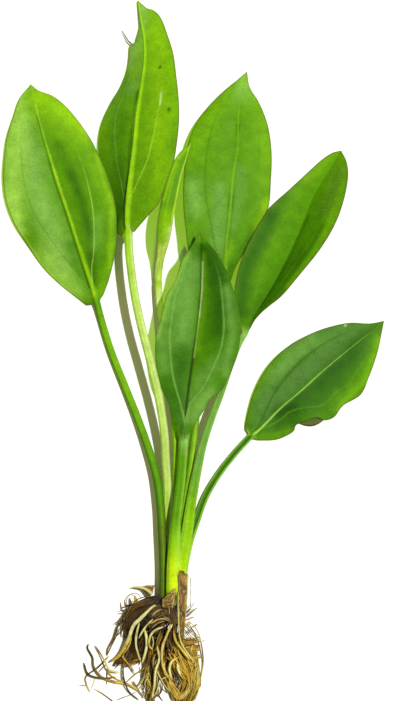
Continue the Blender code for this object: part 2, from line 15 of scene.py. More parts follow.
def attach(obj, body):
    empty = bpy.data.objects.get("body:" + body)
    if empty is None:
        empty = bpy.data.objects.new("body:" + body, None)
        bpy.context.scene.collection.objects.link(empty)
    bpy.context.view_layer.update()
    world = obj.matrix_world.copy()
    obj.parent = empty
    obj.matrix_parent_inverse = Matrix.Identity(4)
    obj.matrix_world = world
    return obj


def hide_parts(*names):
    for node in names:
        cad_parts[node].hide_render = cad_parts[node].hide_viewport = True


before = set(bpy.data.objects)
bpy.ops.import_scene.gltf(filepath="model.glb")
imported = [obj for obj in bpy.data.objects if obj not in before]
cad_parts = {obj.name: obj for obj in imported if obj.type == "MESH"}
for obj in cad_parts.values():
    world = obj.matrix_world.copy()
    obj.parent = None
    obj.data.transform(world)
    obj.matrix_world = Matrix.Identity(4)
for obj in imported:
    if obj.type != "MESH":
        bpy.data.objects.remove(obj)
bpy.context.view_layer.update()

MM = 0.001
UP = np.array([0.0, 0.0, 1.0])

# Camera, light and floor
CAMERA_PLACE = (0.0192, 0.1022, 1.0)
CAMERA_LENS = 128.4
SUN_FROM = (0.261, 0.207, 0.943)
SUN_STRENGTH = 3.75
SUN_ANGLE = 1.6
SKY_COLOUR = (1.0, 0.96, 0.42)
SKY_STRENGTH = 0.32
FULL_LIGHT = 1.5
FLOOR_SIZE = 24.0
FLOOR_HEIGHT = -0.00002
FLOOR_COLOUR = (0.86, 0.86, 0.85)

# Blades
BLADE_RINGS = 140
END_CROWDING = 0.65
BLADE_THICKNESS = 0.5
EDGE_THICKNESS = 0.34
EDGE_ROUND = 0.3
EDGE_TAPER = 3.0
RIB_TIP_SHARE = 0.18
RIB_JOIN = 0.16
RIM_WIDTH = 0.4
FLUTTER = 0.3
VEIN_START = 0.12
FIRST_VEIN = 0.4
SECOND_VEIN = 0.7
VEIN_NEAREST = 0.06
VEIN_FURTHEST = 0.85
SECOND_VEIN_PLACE = 0.52
HALF_COLUMNS = (0.0, 0.012, 0.026, 0.045, 0.07, 0.105, 0.15, 0.2, 0.25, 0.3, 0.34, 0.37, 0.388, 0.4, 0.412,
                0.43, 0.46, 0.5, 0.55, 0.6, 0.645, 0.675, 0.69, 0.7, 0.71, 0.725, 0.755, 0.8, 0.85, 0.9,
                0.94, 0.965, 0.98, 0.99, 0.997, 1.0)
LET_THROUGH = (0.4, 0.58, 0.0)
# How light each blade's underside is painted: a little darker, as painted shade.
UNDERSIDE_PAINTED_SHADE = 0.95

# Stalks, with the heels that run from their feet into the crown
STALK_RINGS = 70
STALK_DEPTH = 0.8
STALK_JOIN = 0.03
STALK_RIBS = 9
STALK_RIB_DEPTH = 0.035
STALK_CHANNEL = 0.1
FOOT_DEPTH = 2.4
FOOT_SHARE = 0.04
FOOT_THIN = 0.5
HEEL_RINGS = 8
HEEL_SHARE = 0.55
HEEL_BEND = 2.0
HEEL_WIDTH = 0.7
HEEL_END = 0.2

# Crown
CROWN_CENTRE = (-2.2, -1.8, 5.4)
CROWN_RADII = (9.4, 6.3, 6.4)
CROWN_TURN = math.radians(14)
CROWN_LUMP = 0.9
CROWN_ROUGHNESS = 0.7
CROWN_ROWS = 60
CROWN_SIDES = 120

# Roots
ROOT_STEP = 0.45
ROOT_NECK = 0.55
ROOT_NECK_SHARE = 0.3
ROOT_KNOTS = 0.28
FLOW_STEP = 0.5
HAIR_STEP = 0.4
OCHRE_ROOTS = ("root_7", "root_16", "root_17", "root_outer")
BROWN_ROOTS = ("root_10", "root_11", "root_12", "root_13", "root_14", "root_21", "root_stub")

# Dry remains
REMAINS_ROWS = 60
REMAINS_COLUMNS = 15
REMAINS_SAG = 0.16
REMAINS_ROUGHNESS = 0.25
REMAINS_RIBS = 0.18
# How light the underside of a dry strip is painted: darker, as painted shade.
STRIP_UNDERSIDE_PAINTED_SHADE = 0.7
CURL_ROWS = 25
CURL_COLUMNS = 9
CURL_WIDTH = 3.9
CURL_RISE = 0.35
CURL_THICKNESS = 0.3
# The line of the brown strip under the low leaf's arch, which stands partly for the shadow there.
CURL = "56 73.2 0.8, 60.4 73.9 0.9, 65.2 74.4 0.8"

# Greens and browns, as they look where the light falls on them (red, green, blue out of 255). Some are
# painted light: the entry brighter than 255 lights blade parts that lean away from the sun, the grey-greens
# paint the sheen of the sky, the palest greens and creams paint highlights as well as pale tissue, and the
# darkest greens paint shade as well as dark tissue.
PALETTE = {
    "deep": (54, 108, 4),
    "dark": (34, 82, 6),
    "green": (78, 140, 3),
    "leaf": (97, 160, 4),
    "fresh": (124, 186, 4),
    "lime": (156, 216, 8),
    "glow": (194, 236, 66),
    "cream": (244, 250, 190),
    "pale": (142, 198, 88),
    # grey-green: painted sheen of the sky on blades, also the grey-green of some stalks
    "mist_sheen": (116, 172, 72),
    # painted sheen of the sky
    "sky_sheen": (92, 141, 64),
    "olive": (88, 104, 30),
    "yellow": (216, 250, 12),
    "gleam": (172, 228, 88),
    "bark": (74, 50, 20),
    "peat": (34, 24, 10),
    "straw": (240, 224, 136),
    "ochre": (208, 160, 34),
    "honey": (240, 204, 76),
    "ivory": (252, 246, 176),
    "umber": (98, 76, 40),
    "rust": (134, 96, 30),
    "blush": (176, 140, 110),
    "pear": (200, 236, 112),
    # painted light: brighter than 255, for blade parts that lean away from the sun
    "painted_glare": (252, 284, 120),
}

# The leaves. A stroke is a colour, its width, its strength and its places. Many strokes are painted light:
# pale and grey-green ones paint sheen and highlights, and dark ones paint shade beside raised ribs, in
# creases and over halves turned from the sun. A vein is its places, its height, colour, strength and width,
# and the v at which it ends. Camber, rim and foot are left, then right; the rim is a brown edge, partly dry
# tissue and partly painted edge shade.
LEAVES = {}

LEAVES["leaf_left"] = {
    "slot": "leaf_green", "stalk_width": (3.6, 2.8), "rib": (0.5, 0.7), "camber": (0.05, 0.05),
    "base": "leaf", "rib_tint": ("lime", 0.8, 0.62), "rim": (0.75, 0.55),
    "stalk": "1.5 6.5 6.6, 1.5 17 6.6, 1 29 6.8, 0.3 41 6.6, -1.6 53.5 5.6, -4.8 64 4.2, -9 75.5 2.8, "
        "-13.8 87.5 2, -19.9 103 1.6, -24.2 117.5 1.9",
    "blade": "-25 121 3, -28 131 3.2, -32 143 3.6, -36 155.5 4.2, -40.5 168.5 5, -44.5 182 5.4, -48 194 5, "
        "-50.5 203.5 3.6, -51.5 208.5 2.6",
    "left": "-26.8 119 2.6, -31.5 122 0.9, -39.5 128 0.17, -47 135.5 0.17, -54.5 146.5 1.2, -59 154.5 2, "
        "-61.5 162 2.8, -62.5 170.5 3.4, -62 179 3.6, -61 187.5 3.4, -58.5 195.5 3, -56 203 2.6, "
        "-51.5 208.5 2.6",
    "right": "-23.6 121.5 3, -20 131 5.5, -17.5 142 7.5, -17 152 8, -17.5 159.5 8, -20 169.5 8, "
        "-24 179.5 7.6, -28.5 188 7, -37 199 5.4, -42.5 203.5 4.2, -48.5 206 3, -51.5 208.5 2.6",
    "veins": {
        -1: ("0 0, 0.08 0.14, 0.15 0.3, 0.25 0.42, 0.35 0.52, 0.45 0.58, 0.6 0.6, 0.8 0.6, 1 0.5", -0.1,
            "green", 0.35, 0.35, 0.9),
        1: ("0 0, 0.1 0.12, 0.15 0.2, 0.2 0.33, 0.25 0.41, 0.3 0.46, 0.4 0.53, 0.5 0.58, 0.6 0.61, "
            "0.8 0.62, 1 0.5", 0.12, "gleam", 0.8, 0.22, 0.68),
    },
    # The olive foot is partly the drying base and partly painted shade where the front stalks shade it.
    "stalk_tint": [(0, "olive"), (0.2, "olive"), (0.34, "green"), (0.48, "leaf"), (0.7, "fresh"),
        (0.9, "fresh"), (1, "leaf")],
    "stripes": [(0.1, 0.2, "fresh", 0.6), (-0.7, 0.3, "deep", 0.6)],
    "net": (0.08, [(5, 0.2, "0.3 -0.4, 0.6 -0.4")]),
    # Painted light among the strokes: the pale and gleam strokes on the left half are painted sheen, the
    # thin glow line right of the rib is a painted highlight, and the dark line left of the rib is painted
    # shadow beside the raised rib.
    "strokes": [
        ("pale", 5.0, 0.75, "0.2 -0.6, 0.35 -0.42, 0.55 -0.42, 0.75 -0.42, 0.88 -0.5"),
        ("lime", 7.0, 0.8, "1 -0.3, 0.93 -0.5, 0.9 0.3"),
        ("gleam", 5.0, 0.75, "0.5 -0.9, 0.62 -0.8, 0.8 -0.8, 0.9 -0.75"),
        ("green", 2.4, 0.7, "0.08 -0.3, 0.18 -0.25, 0.28 -0.16"),
        ("glow", 0.35, 0.5, "0.1 -0.96, 0.25 -0.965, 0.45 -0.965"),
        ("leaf", 2.5, 0.6, "0.98 -0.2, 0.85 -0.15, 0.74 -0.12"),
        ("gleam", 2.6, 0.9, "0.97 -0.9, 0.92 -0.8"),
        ("gleam", 4.6, 0.6, "0.28 -0.8, 0.1 -0.85"),
        ("gleam", 2.6, 0.8, "0.42 -0.95, 0.55 -0.9"),
        ("fresh", 2.6, 0.7, "0.05 0.6, 0.1 0.75, 0.24 0.9"),
        ("fresh", 7.0, 0.9, "0.95 0.2, 0.85 0.6, 0.7 0.85"),
        ("lime", 3.6, 0.7, "0.93 0.6, 0.85 0.85, 0.7 0.95"),
        ("deep", 2.2, 0.75, "0.1 0.16, 0.2 0.26, 0.3 0.36, 0.45 0.36, 0.56 0.33"),
        ("deep", 2.4, 0.4, "0.56 0.33, 0.7 0.26"),
        ("fresh", 2.6, 0.6, "0.35 0.95, 0.5 0.8, 0.6 0.8"),
        ("pale", 2.4, 0.3, "0.25 0.45, 0.35 0.6"),
        ("green", 3.0, 0.5, "0.14 0.5, 0.2 0.7"),
        ("lime", 1.0, 0.5, "0.15 0.92, 0.4 0.93, 0.6 0.95"),
        ("lime", 0.9, 0.6, "0.04 0.02, 0.15 0.03, 0.25 0.02"),
        ("dark", 0.5, 0.75, "0.08 -0.13, 0.15 -0.09, 0.3 -0.05, 0.6 -0.035, 0.85 -0.03"),
        ("glow", 0.35, 0.8, "0.25 0.015, 0.6 0.02, 0.9 0.02"),
    ],
}

LEAVES["leaf_tall"] = {
    "slot": "leaf_young", "stalk_width": (3.4, 3.3), "rib": (1.5, 0.4), "camber": (0.04, 0.05),
    "base": "fresh", "rib_tint": ("lime", 1.0, 1.0), "rim": (0.75, 0.75),
    "stalk": "1.8 6.5 2, 2 18.5 2, 2.2 30.5 2, 2.8 40 3, 3 49 5.4, 2.5 58 8, 1.9 69.5 11.8, -0.2 83.5 15, "
        "-3.9 99.5 17, -7.2 112.5 17.8, -9.5 123.5 17.8, -11.4 137 17.4, -12.1 145.5 16.6",
    "blade": "-12.1 149 15.6, -12 159.5 14.6, -10.9 171.5 14, -9.5 184.7 13.4, -8.6 194.9 12.4, "
        "-7.1 205.4 10.4, -5.8 216.6 7.6, -6 225.7 5, -7.5 234.2 2.8, -8.7 242 1.2",
    "left": "-13.7 147.5 15.2, -15.6 147.8 10, -17.3 149.6 5.6, -17.4 154 4, -20.5 166 3, -23.5 176 3, "
        "-24.5 184 3, -23.6 192.2 2.8, -19.7 201 2.2, -15.9 207.2 1.6, -14.1 211.6 1.4, -13.1 215.5 1.2, "
        "-12.6 219.5 1, -12.4 222.9 1.2, -11.8 224.4 1.6, -10.5 224.3 1.8, -9.6 227.2 1.6, -8.5 231 1.4, "
        "-7.8 234.4 1.4, -8 237 1.4, -8.7 242 1.2",
    "right": "-11.3 149 16.4, -10.3 148 17.4, -8.9 149.7 18.4, -6.3 152.6 20, -3.5 155.8 21.4, "
        "-0.5 159.1 22.4, 1.7 163.8 23, 3.7 169.6 23.2, 5.7 175.5 23, 7 183.4 22, 7.9 193.3 20.4, "
        "7.7 201.4 18.2, 6.7 210.7 15, 5.5 219.5 11, 3.3 227.1 7, 0.7 234.1 4, -1.1 236.7 3, "
        "-2.9 238.1 2.4, -5 238.8 1.9, -6.8 240.2 1.5, -8.7 242 1.2",
    "veins": {
        -1: ("0 0, 0.1 0.2, 0.2 0.36, 0.25 0.42, 0.3 0.48, 0.4 0.53, 0.5 0.57, 0.6 0.6, 0.75 0.66, "
            "0.9 0.6, 1 0.5", 0.14, "mist_sheen", 0.6, 0.35, 0.9),
        1: ("0 0, 0.14 0.05, 0.17 0.13, 0.2 0.2, 0.25 0.3, 0.3 0.38, 0.4 0.45, 0.5 0.51, 0.58 0.58, "
            "0.7 0.6, 0.9 0.55, 1 0.5", 0.14, "glow", 0.7, 0.26, 0.62),
    },
    # The glow at the foot is painted light, lifting a foot that lies in shade.
    "stalk_tint": [(0, "glow"), (0.2, "glow"), (0.35, "pear"), (0.75, "pear"), (1, "lime")],
    "stripes": [(-0.8, 0.2, "fresh", 0.6), (0.6, 0.3, "cream", 0.4)],
    "net": (0.08, []),
    # Painted light among the strokes: the dark line left of the rib is painted shadow beside the raised rib,
    # the darker greens on the left half are partly painted shade, the grey-green and pale strokes towards
    # the tip are painted sheen, and the short cream line on the right vein is a painted highlight.
    "strokes": [
        ("leaf", 6.0, 0.6, "0.1 0.5, 0.25 0.6, 0.3 0.4"),
        ("leaf", 2.6, 0.5, "0.35 0.92, 0.45 0.95"),
        ("lime", 1.6, 0.9, "0.03 0.1, 0.1 0.12, 0.17 0.06"),
        ("leaf", 9.0, 1.0, "0.1 -0.5, 0.35 -0.5, 0.6 -0.5"),
        ("green", 4.4, 0.8, "0.12 -0.5, 0.35 -0.45, 0.5 -0.4"),
        ("deep", 2.2, 0.5, "0.14 -0.5, 0.3 -0.35"),
        ("mist_sheen", 3.0, 0.6, "0.62 -0.3, 0.75 -0.35"),
        ("pale", 3.4, 0.6, "0.78 -0.5, 0.9 -0.5, 0.97 -0.3"),
        ("leaf", 1.4, 0.6, "0.35 -0.9, 0.6 -0.85, 0.7 -0.8"),
        ("dark", 0.7, 0.75, "0.12 -0.28, 0.25 -0.14, 0.4 -0.1, 0.6 -0.1"),
        ("cream", 0.35, 0.8, "0.53 0.56, 0.55 0.565, 0.575 0.57"),
        ("lime", 3.4, 0.35, "0.25 0.75, 0.45 0.6, 0.7 0.5, 0.85 0.5"),
        ("peat", 0.65, 1.0, "0.684 0.535, 0.684 0.545"),
        ("peat", 0.6, 1.0, "0.507 0.77, 0.506 0.78"),
        ("blush", 0.9, 0.8, "0.74 -0.97, 0.8 -0.97, 0.85 -0.97"),
        ("fresh", 3.0, 0.8, "0.68 -0.4, 0.78 -0.45, 0.86 -0.4"),
        ("pale", 2.2, 0.6, "0.74 -0.7, 0.86 -0.6, 0.97 -0.4"),
    ],
}

LEAVES["leaf_folded"] = {
    "slot": "leaf_young", "stalk_width": (2.6, 3), "rib": (0.5, 0.2), "camber": (0.08, -0.08),
    "base": "leaf", "rib_tint": ("glow", 0.85, 0.62), "rim": (0.5, 0.2),
    "stalk": "5.2 7 7.3, 5.2 19 7.3, 6 33 7, 6.5 51.5 6.8, 6.5 66.5 6.4, 5 82.5 5.8, 2.2 98.5 5.2, "
        "0.4 114.5 4.6, -0.5 124.5 4.4",
    "blade": "-0.6 128.7 4.6, -0.2 133.4 6.2, 1 138.1 9.4, 2.8 143.4 13.8, 4.3 149.2 17.2, 5.5 155.8 19.2, "
        "7 163.6 19.9, 8.4 170.4 19.7, 10.2 176.6 19, 12.4 183.9 18",
    "left": "-1.9 128.7 4.4, -2.1 131.5 4.8, -1.7 135.8 7.2, -0.9 141.1 12.6, -0.8 146.8 17, "
        "-0.5 152.6 19.2, 0.4 158.1 20, 1.6 162.8 20.2, 2.8 167.5 20.2, 4.1 172.2 20, 5.7 176.1 19.5, "
        "8 179.7 18.9, 12.4 183.9 18",
    "right": "0.7 128.7 4.4, 0.9 132.6 5, 1.6 138.1 7.6, 2.9 142.7 11.2, 4.1 147.3 14.2, 4.5 152 15.8, "
        "4.3 157.5 16.6, 4.7 162.9 17, 5.8 169.2 17, 8.2 176.7 17.2, 12.4 183.9 18",
    "veins": {
        -1: ("0 0, 0.2 0.4, 0.5 0.55, 0.8 0.55, 1 0.5", 0.1, "lime", 0.5, 0.3, 0.9),
        1: ("0 0, 0.2 0.4, 0.5 0.55, 0.8 0.55, 1 0.5", 0.1, "lime", 0.5, 0.3, 0.9),
    },
    "stalk_tint": [(0, "yellow"), (0.2, "lime"), (0.5, "lime"), (0.64, "leaf"), (0.75, "fresh"),
        (0.9, "cream"), (1, "glow")],
    "stripes": [(-0.7, 0.25, "leaf", 0.5)],
    "net": (0.08, []),
    # The over-bright and cream strokes on the steep lower blade are painted light, for a part that leans
    # away from the sun; the bright rib tint is partly a painted highlight along the fold.
    "strokes": [
        ("fresh", 5.0, 0.8, "0.5 -0.5, 0.35 -0.5"),
        ("lime", 2.0, 0.8, "0.46 -0.25, 0.36 -0.3"),
        ("painted_glare", 4.0, 0.75, "0.25 -0.5, 0.15 -0.5, 0.05 -0.5"),
        ("painted_glare", 1.6, 0.8, "0.3 0.3, 0.14 0.3, 0.05 0.3"),
        ("cream", 1.4, 0.8, "0.42 0.3, 0.14 0.3, 0.05 0.3"),
        ("lime", 1.2, 0.8, "0.6 -0.95, 0.85 -0.9, 0.95 -0.9"),
    ],
}

LEAVES["leaf_middle"] = {
    "slot": "leaf_green", "stalk_width": (3, 2.8), "rib": (0.15, 0.9), "camber": (0.05, 0.05),
    "base": "leaf", "rib_tint": ("fresh", 0.85, 0.5), "rim": (0.75, 0.75),
    "stalk": "5.4 6.5 3, 5.8 18.5 3.6, 8.2 31 4.8, 10 41 6.6, 11.7 51.5 7.4, 13.5 66.5 7.6, 15.2 82.5 7.6, "
        "17.4 98.5 8.2, 21 114.5 9, 24 124 10.2",
    "blade": "24.5 126 10.5, 26 135 11.4, 26.5 145 12, 28 157.5 12, 29 170.1 11, 31 182.8 9, 31.6 198.2 6, "
        "34.2 210.2 4, 34.7 213.3 3.6",
    "left": "23.2 126 10.6, 19 128 11.6, 15 133.5 12.8, 11.5 141.5 13.5, 10.5 149 13.6, 9.5 158.5 13.6, "
        "9.5 168.6 12.6, 11 182.9 9, 14 191.6 7, 19 198.9 5.4, 26.1 206.1 4.2, 30.6 209.8 3.8, "
        "34.7 213.3 3.6",
    "right": "25.8 126 10.3, 28 129.5 10.2, 30.5 136 10, 37.5 147 10, 43 158.5 10, 44.1 169.6 9.4, "
        "44.4 180.9 8, 43 191.6 6.6, 39.4 201 5, 35.8 207.2 4, 34.7 213.3 3.6",
    "veins": {
        -1: ("0 0, 0.1 0.14, 0.2 0.3, 0.3 0.42, 0.35 0.48, 0.4 0.53, 0.5 0.58, 0.6 0.6, 0.75 0.62, "
            "0.9 0.6, 1 0.5", -0.12, "green", 0.7, 0.4, 0.9),
        1: ("0 0, 0.1 0.16, 0.2 0.36, 0.3 0.48, 0.5 0.58, 0.7 0.63, 0.85 0.63, 1 0.5", -0.08, "leaf", 0.5,
            0.35, 0.9),
    },
    "stalk_tint": [(0, "yellow"), (0.15, "lime"), (0.35, "fresh"), (0.6, "leaf"), (1, "leaf")],
    "stripes": [(0.2, 0.25, "glow", 0.6), (-0.8, 0.25, "deep", 0.5)],
    "net": (0.06, [(3.0, 0.4, "0.12 -0.22, 0.3 -0.28, 0.45 -0.25"), (3, 0.25, "0.65 -0.35, 0.8 -0.3")]),
    # The grey-green and pale strokes are painted sheen, and the thin dark lines either side of the rib are
    # painted shade in its groove.
    "strokes": [
        ("fresh", 5.0, 0.6, "0.6 -0.85, 0.8 -0.8, 0.95 -0.4, 0.97 0.3, 0.8 0.85, 0.6 0.85"),
        ("fresh", 3.0, 0.6, "0.3 0.6, 0.5 0.85"),
        ("green", 7.0, 0.55, "0.1 0.4, 0.25 0.5, 0.4 0.6"),
        ("deep", 2.6, 0.6, "0.2 0.97, 0.36 0.97"),
        ("deep", 3.0, 0.7, "0.05 0.2, 0.1 0.4"),
        ("mist_sheen", 3.0, 0.7, "0.2 -0.2, 0.3 -0.25, 0.45 -0.25"),
        ("pale", 3.0, 0.6, "0.36 -0.75, 0.46 -0.8"),
        ("mist_sheen", 2.4, 0.5, "0.3 0.14, 0.45 0.2, 0.54 0.16"),
        ("dark", 0.4, 0.6, "0.15 0.05, 0.4 0.05, 0.75 0.04"),
        ("deep", 0.4, 0.6, "0.15 -0.06, 0.4 -0.05, 0.75 -0.04"),
        ("lime", 2.4, 0.8, "0.99 0.2, 0.95 0.6"),
        ("lime", 2.2, 0.6, "0.3 0.95, 0.42 0.95"),
        ("fresh", 1.4, 0.6, "0.1 -0.05, 0.22 0.2"),
        ("pale", 4.0, 0.5, "0.97 -0.3, 0.9 0"),
    ],
}

LEAVES["leaf_front"] = {
    "slot": "leaf_dark", "stalk_width": (4.4, 4), "rib": (0.15, 0.9), "camber": (0.07, 0.07),
    "base": "green", "rib_tint": ("leaf", 0, 0.62), "rim": (0.346, 0.35), "foot": (0, 2.6, 0.5),
    "stalk": "4.8 7.5 10.8, 5 17.5 10.8, 6.1 31.5 10.6, 8.5 51.5 10.4, 9.2 61.5 10.7",
    "blade": "9.5 66 10.8, 10.1 72.5 11, 11 81 11.4, 12.5 92 12, 14 102.5 13, 15.5 113.5 14.4, "
        "16.5 123.5 16, 17 135.5 18.6, 16.5 144.5 21.4, 16 149 22.6",
    "left": "7.6 66 11, 6.9 70.5 11.3, 5.8 75 11.6, 3.5 81.5 11.9, 0 89 12.2, -1.5 98 13, -1.5 106.5 14.8, "
        "0.5 115 17, 3 124 18.8, 6.5 130 19.8, 9 138 21, 12.5 142.5 21.9, 16 149 22.6",
    "right": "11.5 66 11.2, 13.2 71 11.8, 15.4 75 12.6, 18.5 80 13.4, 19.5 82.5 14, 24.5 86.5 15.4, "
        "28 93 16.6, 31 101.5 18, 32 111 19, 31 119.5 19.6, 29 126.5 20.2, 26 134.5 20.9, 22.5 140.5 21.8, "
        "18.5 145.5 22.5, 16 149 22.6",
    "veins": {
        -1: ("0 0, 0.112 0.18, 0.159 0.33, 0.205 0.42, 0.252 0.48, 0.346 0.57, 0.439 0.63, 0.532 0.7, "
            "0.626 0.74, 0.813 0.79, 1 0.6", 0.12, "pale", 0.6, 0.35, 0.9),
        1: ("0 0, 0.177 0.15, 0.205 0.3, 0.252 0.42, 0.346 0.52, 0.439 0.6, 0.532 0.63, 0.626 0.62, "
            "0.813 0.66, 1 0.5", 0.12, "pale", 0.6, 0.35, 0.9),
    },
    "stalk_tint": [(0, "yellow"), (0.15, "yellow"), (0.32, "lime"), (0.5, "leaf"), (0.9, "leaf"),
        (1, "pale")],
    "stripes": [(-0.9, 0.2, "dark", 0.7), (-0.4, 0.3, "leaf", 0.5), (0.6, 0.22, "gleam", 0.5)],
    "net": (0.06, [(3, 0.15, "0.299 -0.4, 0.532 -0.5")]),
    # Painted light among the strokes: the grey-green strokes on the left half are painted sheen, the deep
    # and dark strokes over the right half are painted shade on the half turned from the sun, the dark lines
    # left of the rib are painted shade in its crease, and the thin cream and gleam lines right of it are
    # painted highlights.
    "strokes": [
        ("mist_sheen", 4.5, 0.9, "0.486 -0.35, 0.673 -0.45, 0.832 -0.45"),
        ("mist_sheen", 3.0, 0.7, "0.346 -0.8, 0.532 -0.9, 0.766 -0.85"),
        ("deep", 4.2, 0.8, "0.102 -0.4, 0.252 -0.4, 0.42 -0.3"),
        ("deep", 3.0, 0.5, "0.159 -0.8, 0.271 -0.85"),
        ("deep", 4.6, 1.0, "0.532 0.5, 0.673 0.6, 0.86 0.5, 0.935 0.3"),
        ("dark", 3.0, 0.3, "0.579 0.6, 0.72 0.7, 0.86 0.7"),
        ("leaf", 2.4, 0.4, "0.252 0.15, 0.439 0.15"),
        ("mist_sheen", 1.8, 0.7, "0.346 0.9, 0.532 0.82, 0.72 0.82"),
        ("pale", 2.6, 0.6, "0.112 0.4, 0.252 0.75"),
        ("leaf", 2.5, 0.7, "1 0, 0.963 -0.4"),
        ("leaf", 1.6, 0.6, "1 0.1, 0.953 0.7"),
        ("gleam", 1.0, 0.4, "0.486 -0.95, 0.673 -0.93, 0.888 -0.88"),
        ("mist_sheen", 3.4, 0.6, "0.159 0.35, 0.299 0.3, 0.383 0.6"),
        ("fresh", 1.2, 0.4, "0.888 0.12, 0.626 0.1, 0.439 0.1"),
        ("peat", 0.6, 0.9, "0 -0.1, 0.159 -0.05, 0.299 -0.03, 0.486 -0.025"),
        ("dark", 0.45, 0.9, "0.486 -0.025, 0.72 -0.035, 0.935 -0.05"),
        ("cream", 0.3, 0.9, "0.589 0.015, 0.72 0.02, 0.85 0.03"),
        ("gleam", 0.4, 0.7, "0.402 0.015, 0.514 0.01, 0.626 0.01"),
    ],
}

LEAVES["leaf_right"] = {
    "slot": "leaf_dark", "stalk_width": (3.4, 2.6), "rib": (0.15, 0.8), "camber": (0.05, 0.05),
    "base": "leaf", "rib_tint": ("deep", 0.3, 0.62), "rim": (0.75, 0.75), "foot": (2.4, 0, 0.62),
    "stalk": "8.5 7 7.4, 9.6 19.1 7.8, 11.5 29.1 8.2, 13 41.7 9.2, 15 53.7 10.6, 17.5 65.7 12, "
        "21.2 77.1 12.6, 24.4 85.6 12.1, 27.8 95.7 11.7, 31.8 105.8 10.8",
    "blade": "33.5 108.5 10.4, 37 115 10.2, 41.5 122 9.4, 48.5 134.5 7.8, 55.5 149 6.6, 61.5 163.5 6, "
        "67.5 174 6.2, 72.1 181.6 7",
    "left": "32.5 109.4 10.6, 30.5 115 12.2, 29.5 122 13.6, 30 129 14, 32.5 138.5 13.6, 37 148.1 12.6, "
        "43.6 158.7 11, 51.1 165.7 9.6, 57.7 171.8 8.6, 64.2 177.8 8, 68.6 180.7 7.6, 72.1 181.6 7",
    "right": "34.5 107.8 10.4, 36.5 112.5 11.6, 40.5 117.5 13, 48 123.5 14.6, 54.5 131 15.4, "
        "61.5 139.5 15.8, 68.5 150.5 15, 72.5 160.5 13.6, 74.6 171.1 11.4, 74.1 177.1 9, 72.1 181.6 7",
    "veins": {
        -1: ("0 0, 0.1 0.2, 0.25 0.4, 0.5 0.52, 0.75 0.55, 1 0.5", 0.05, "fresh", 0.15, 0.3, 0.9),
        1: ("0 0, 0.1 0.2, 0.25 0.42, 0.5 0.55, 0.75 0.58, 1 0.5", 0.08, "leaf", 0.35, 0.35, 0.9),
    },
    "stalk_tint": [(0, "yellow"), (0.22, "lime"), (0.36, "fresh"), (0.5, "mist_sheen"), (0.85, "mist_sheen"),
        (1, "pale")],
    "stripes": [(-0.95, 0.14, "dark", 0.7), (-0.5, 0.2, "gleam", 0.4), (0.75, 0.2, "gleam", 0.6)],
    "net": (0.03, [(3.5, 0.5, "0.7 0.5, 0.88 0.5")]),
    # The deep and green strokes over the right half are partly painted shade on the half of the fold turned
    # from the sun, and the dark line beside the rib and the deep rib tint are painted shade in the fold.
    "strokes": [
        ("leaf", 5.0, 0.6, "0.2 -0.3, 0.5 -0.3, 0.85 -0.3"),
        ("fresh", 3.0, 0.8, "0.8 -0.85, 0.9 -0.8, 0.97 -0.3"),
        ("deep", 4.4, 0.9, "0.1 -0.8, 0.3 -0.85, 0.55 -0.85"),
        ("green", 6.0, 0.9, "0.2 0.4, 0.4 0.4, 0.75 0.4"),
        ("deep", 4.0, 0.6, "0.1 0.3, 0.22 0.5, 0.45 0.6"),
        ("dark", 0.5, 0.6, "0.05 0.1, 0.15 0.16, 0.4 0.14, 0.65 0.1"),
        ("olive", 4.0, 0.35, "0.72 0.55, 0.88 0.55"),
        ("leaf", 4.0, 0.6, "0.74 0.15, 0.9 0.2"),
        ("deep", 1.6, 0.7, "0.3 0.75, 0.45 0.75, 0.62 0.7"),
        ("deep", 2.4, 0.6, "0.55 -0.9, 0.66 -0.9"),
        ("fresh", 1.6, 0.6, "0.3 0.93, 0.5 0.93, 0.8 0.93"),
        ("leaf", 1.6, 0.8, "0.35 0.97, 0.6 0.95, 0.85 0.95"),
    ],
}

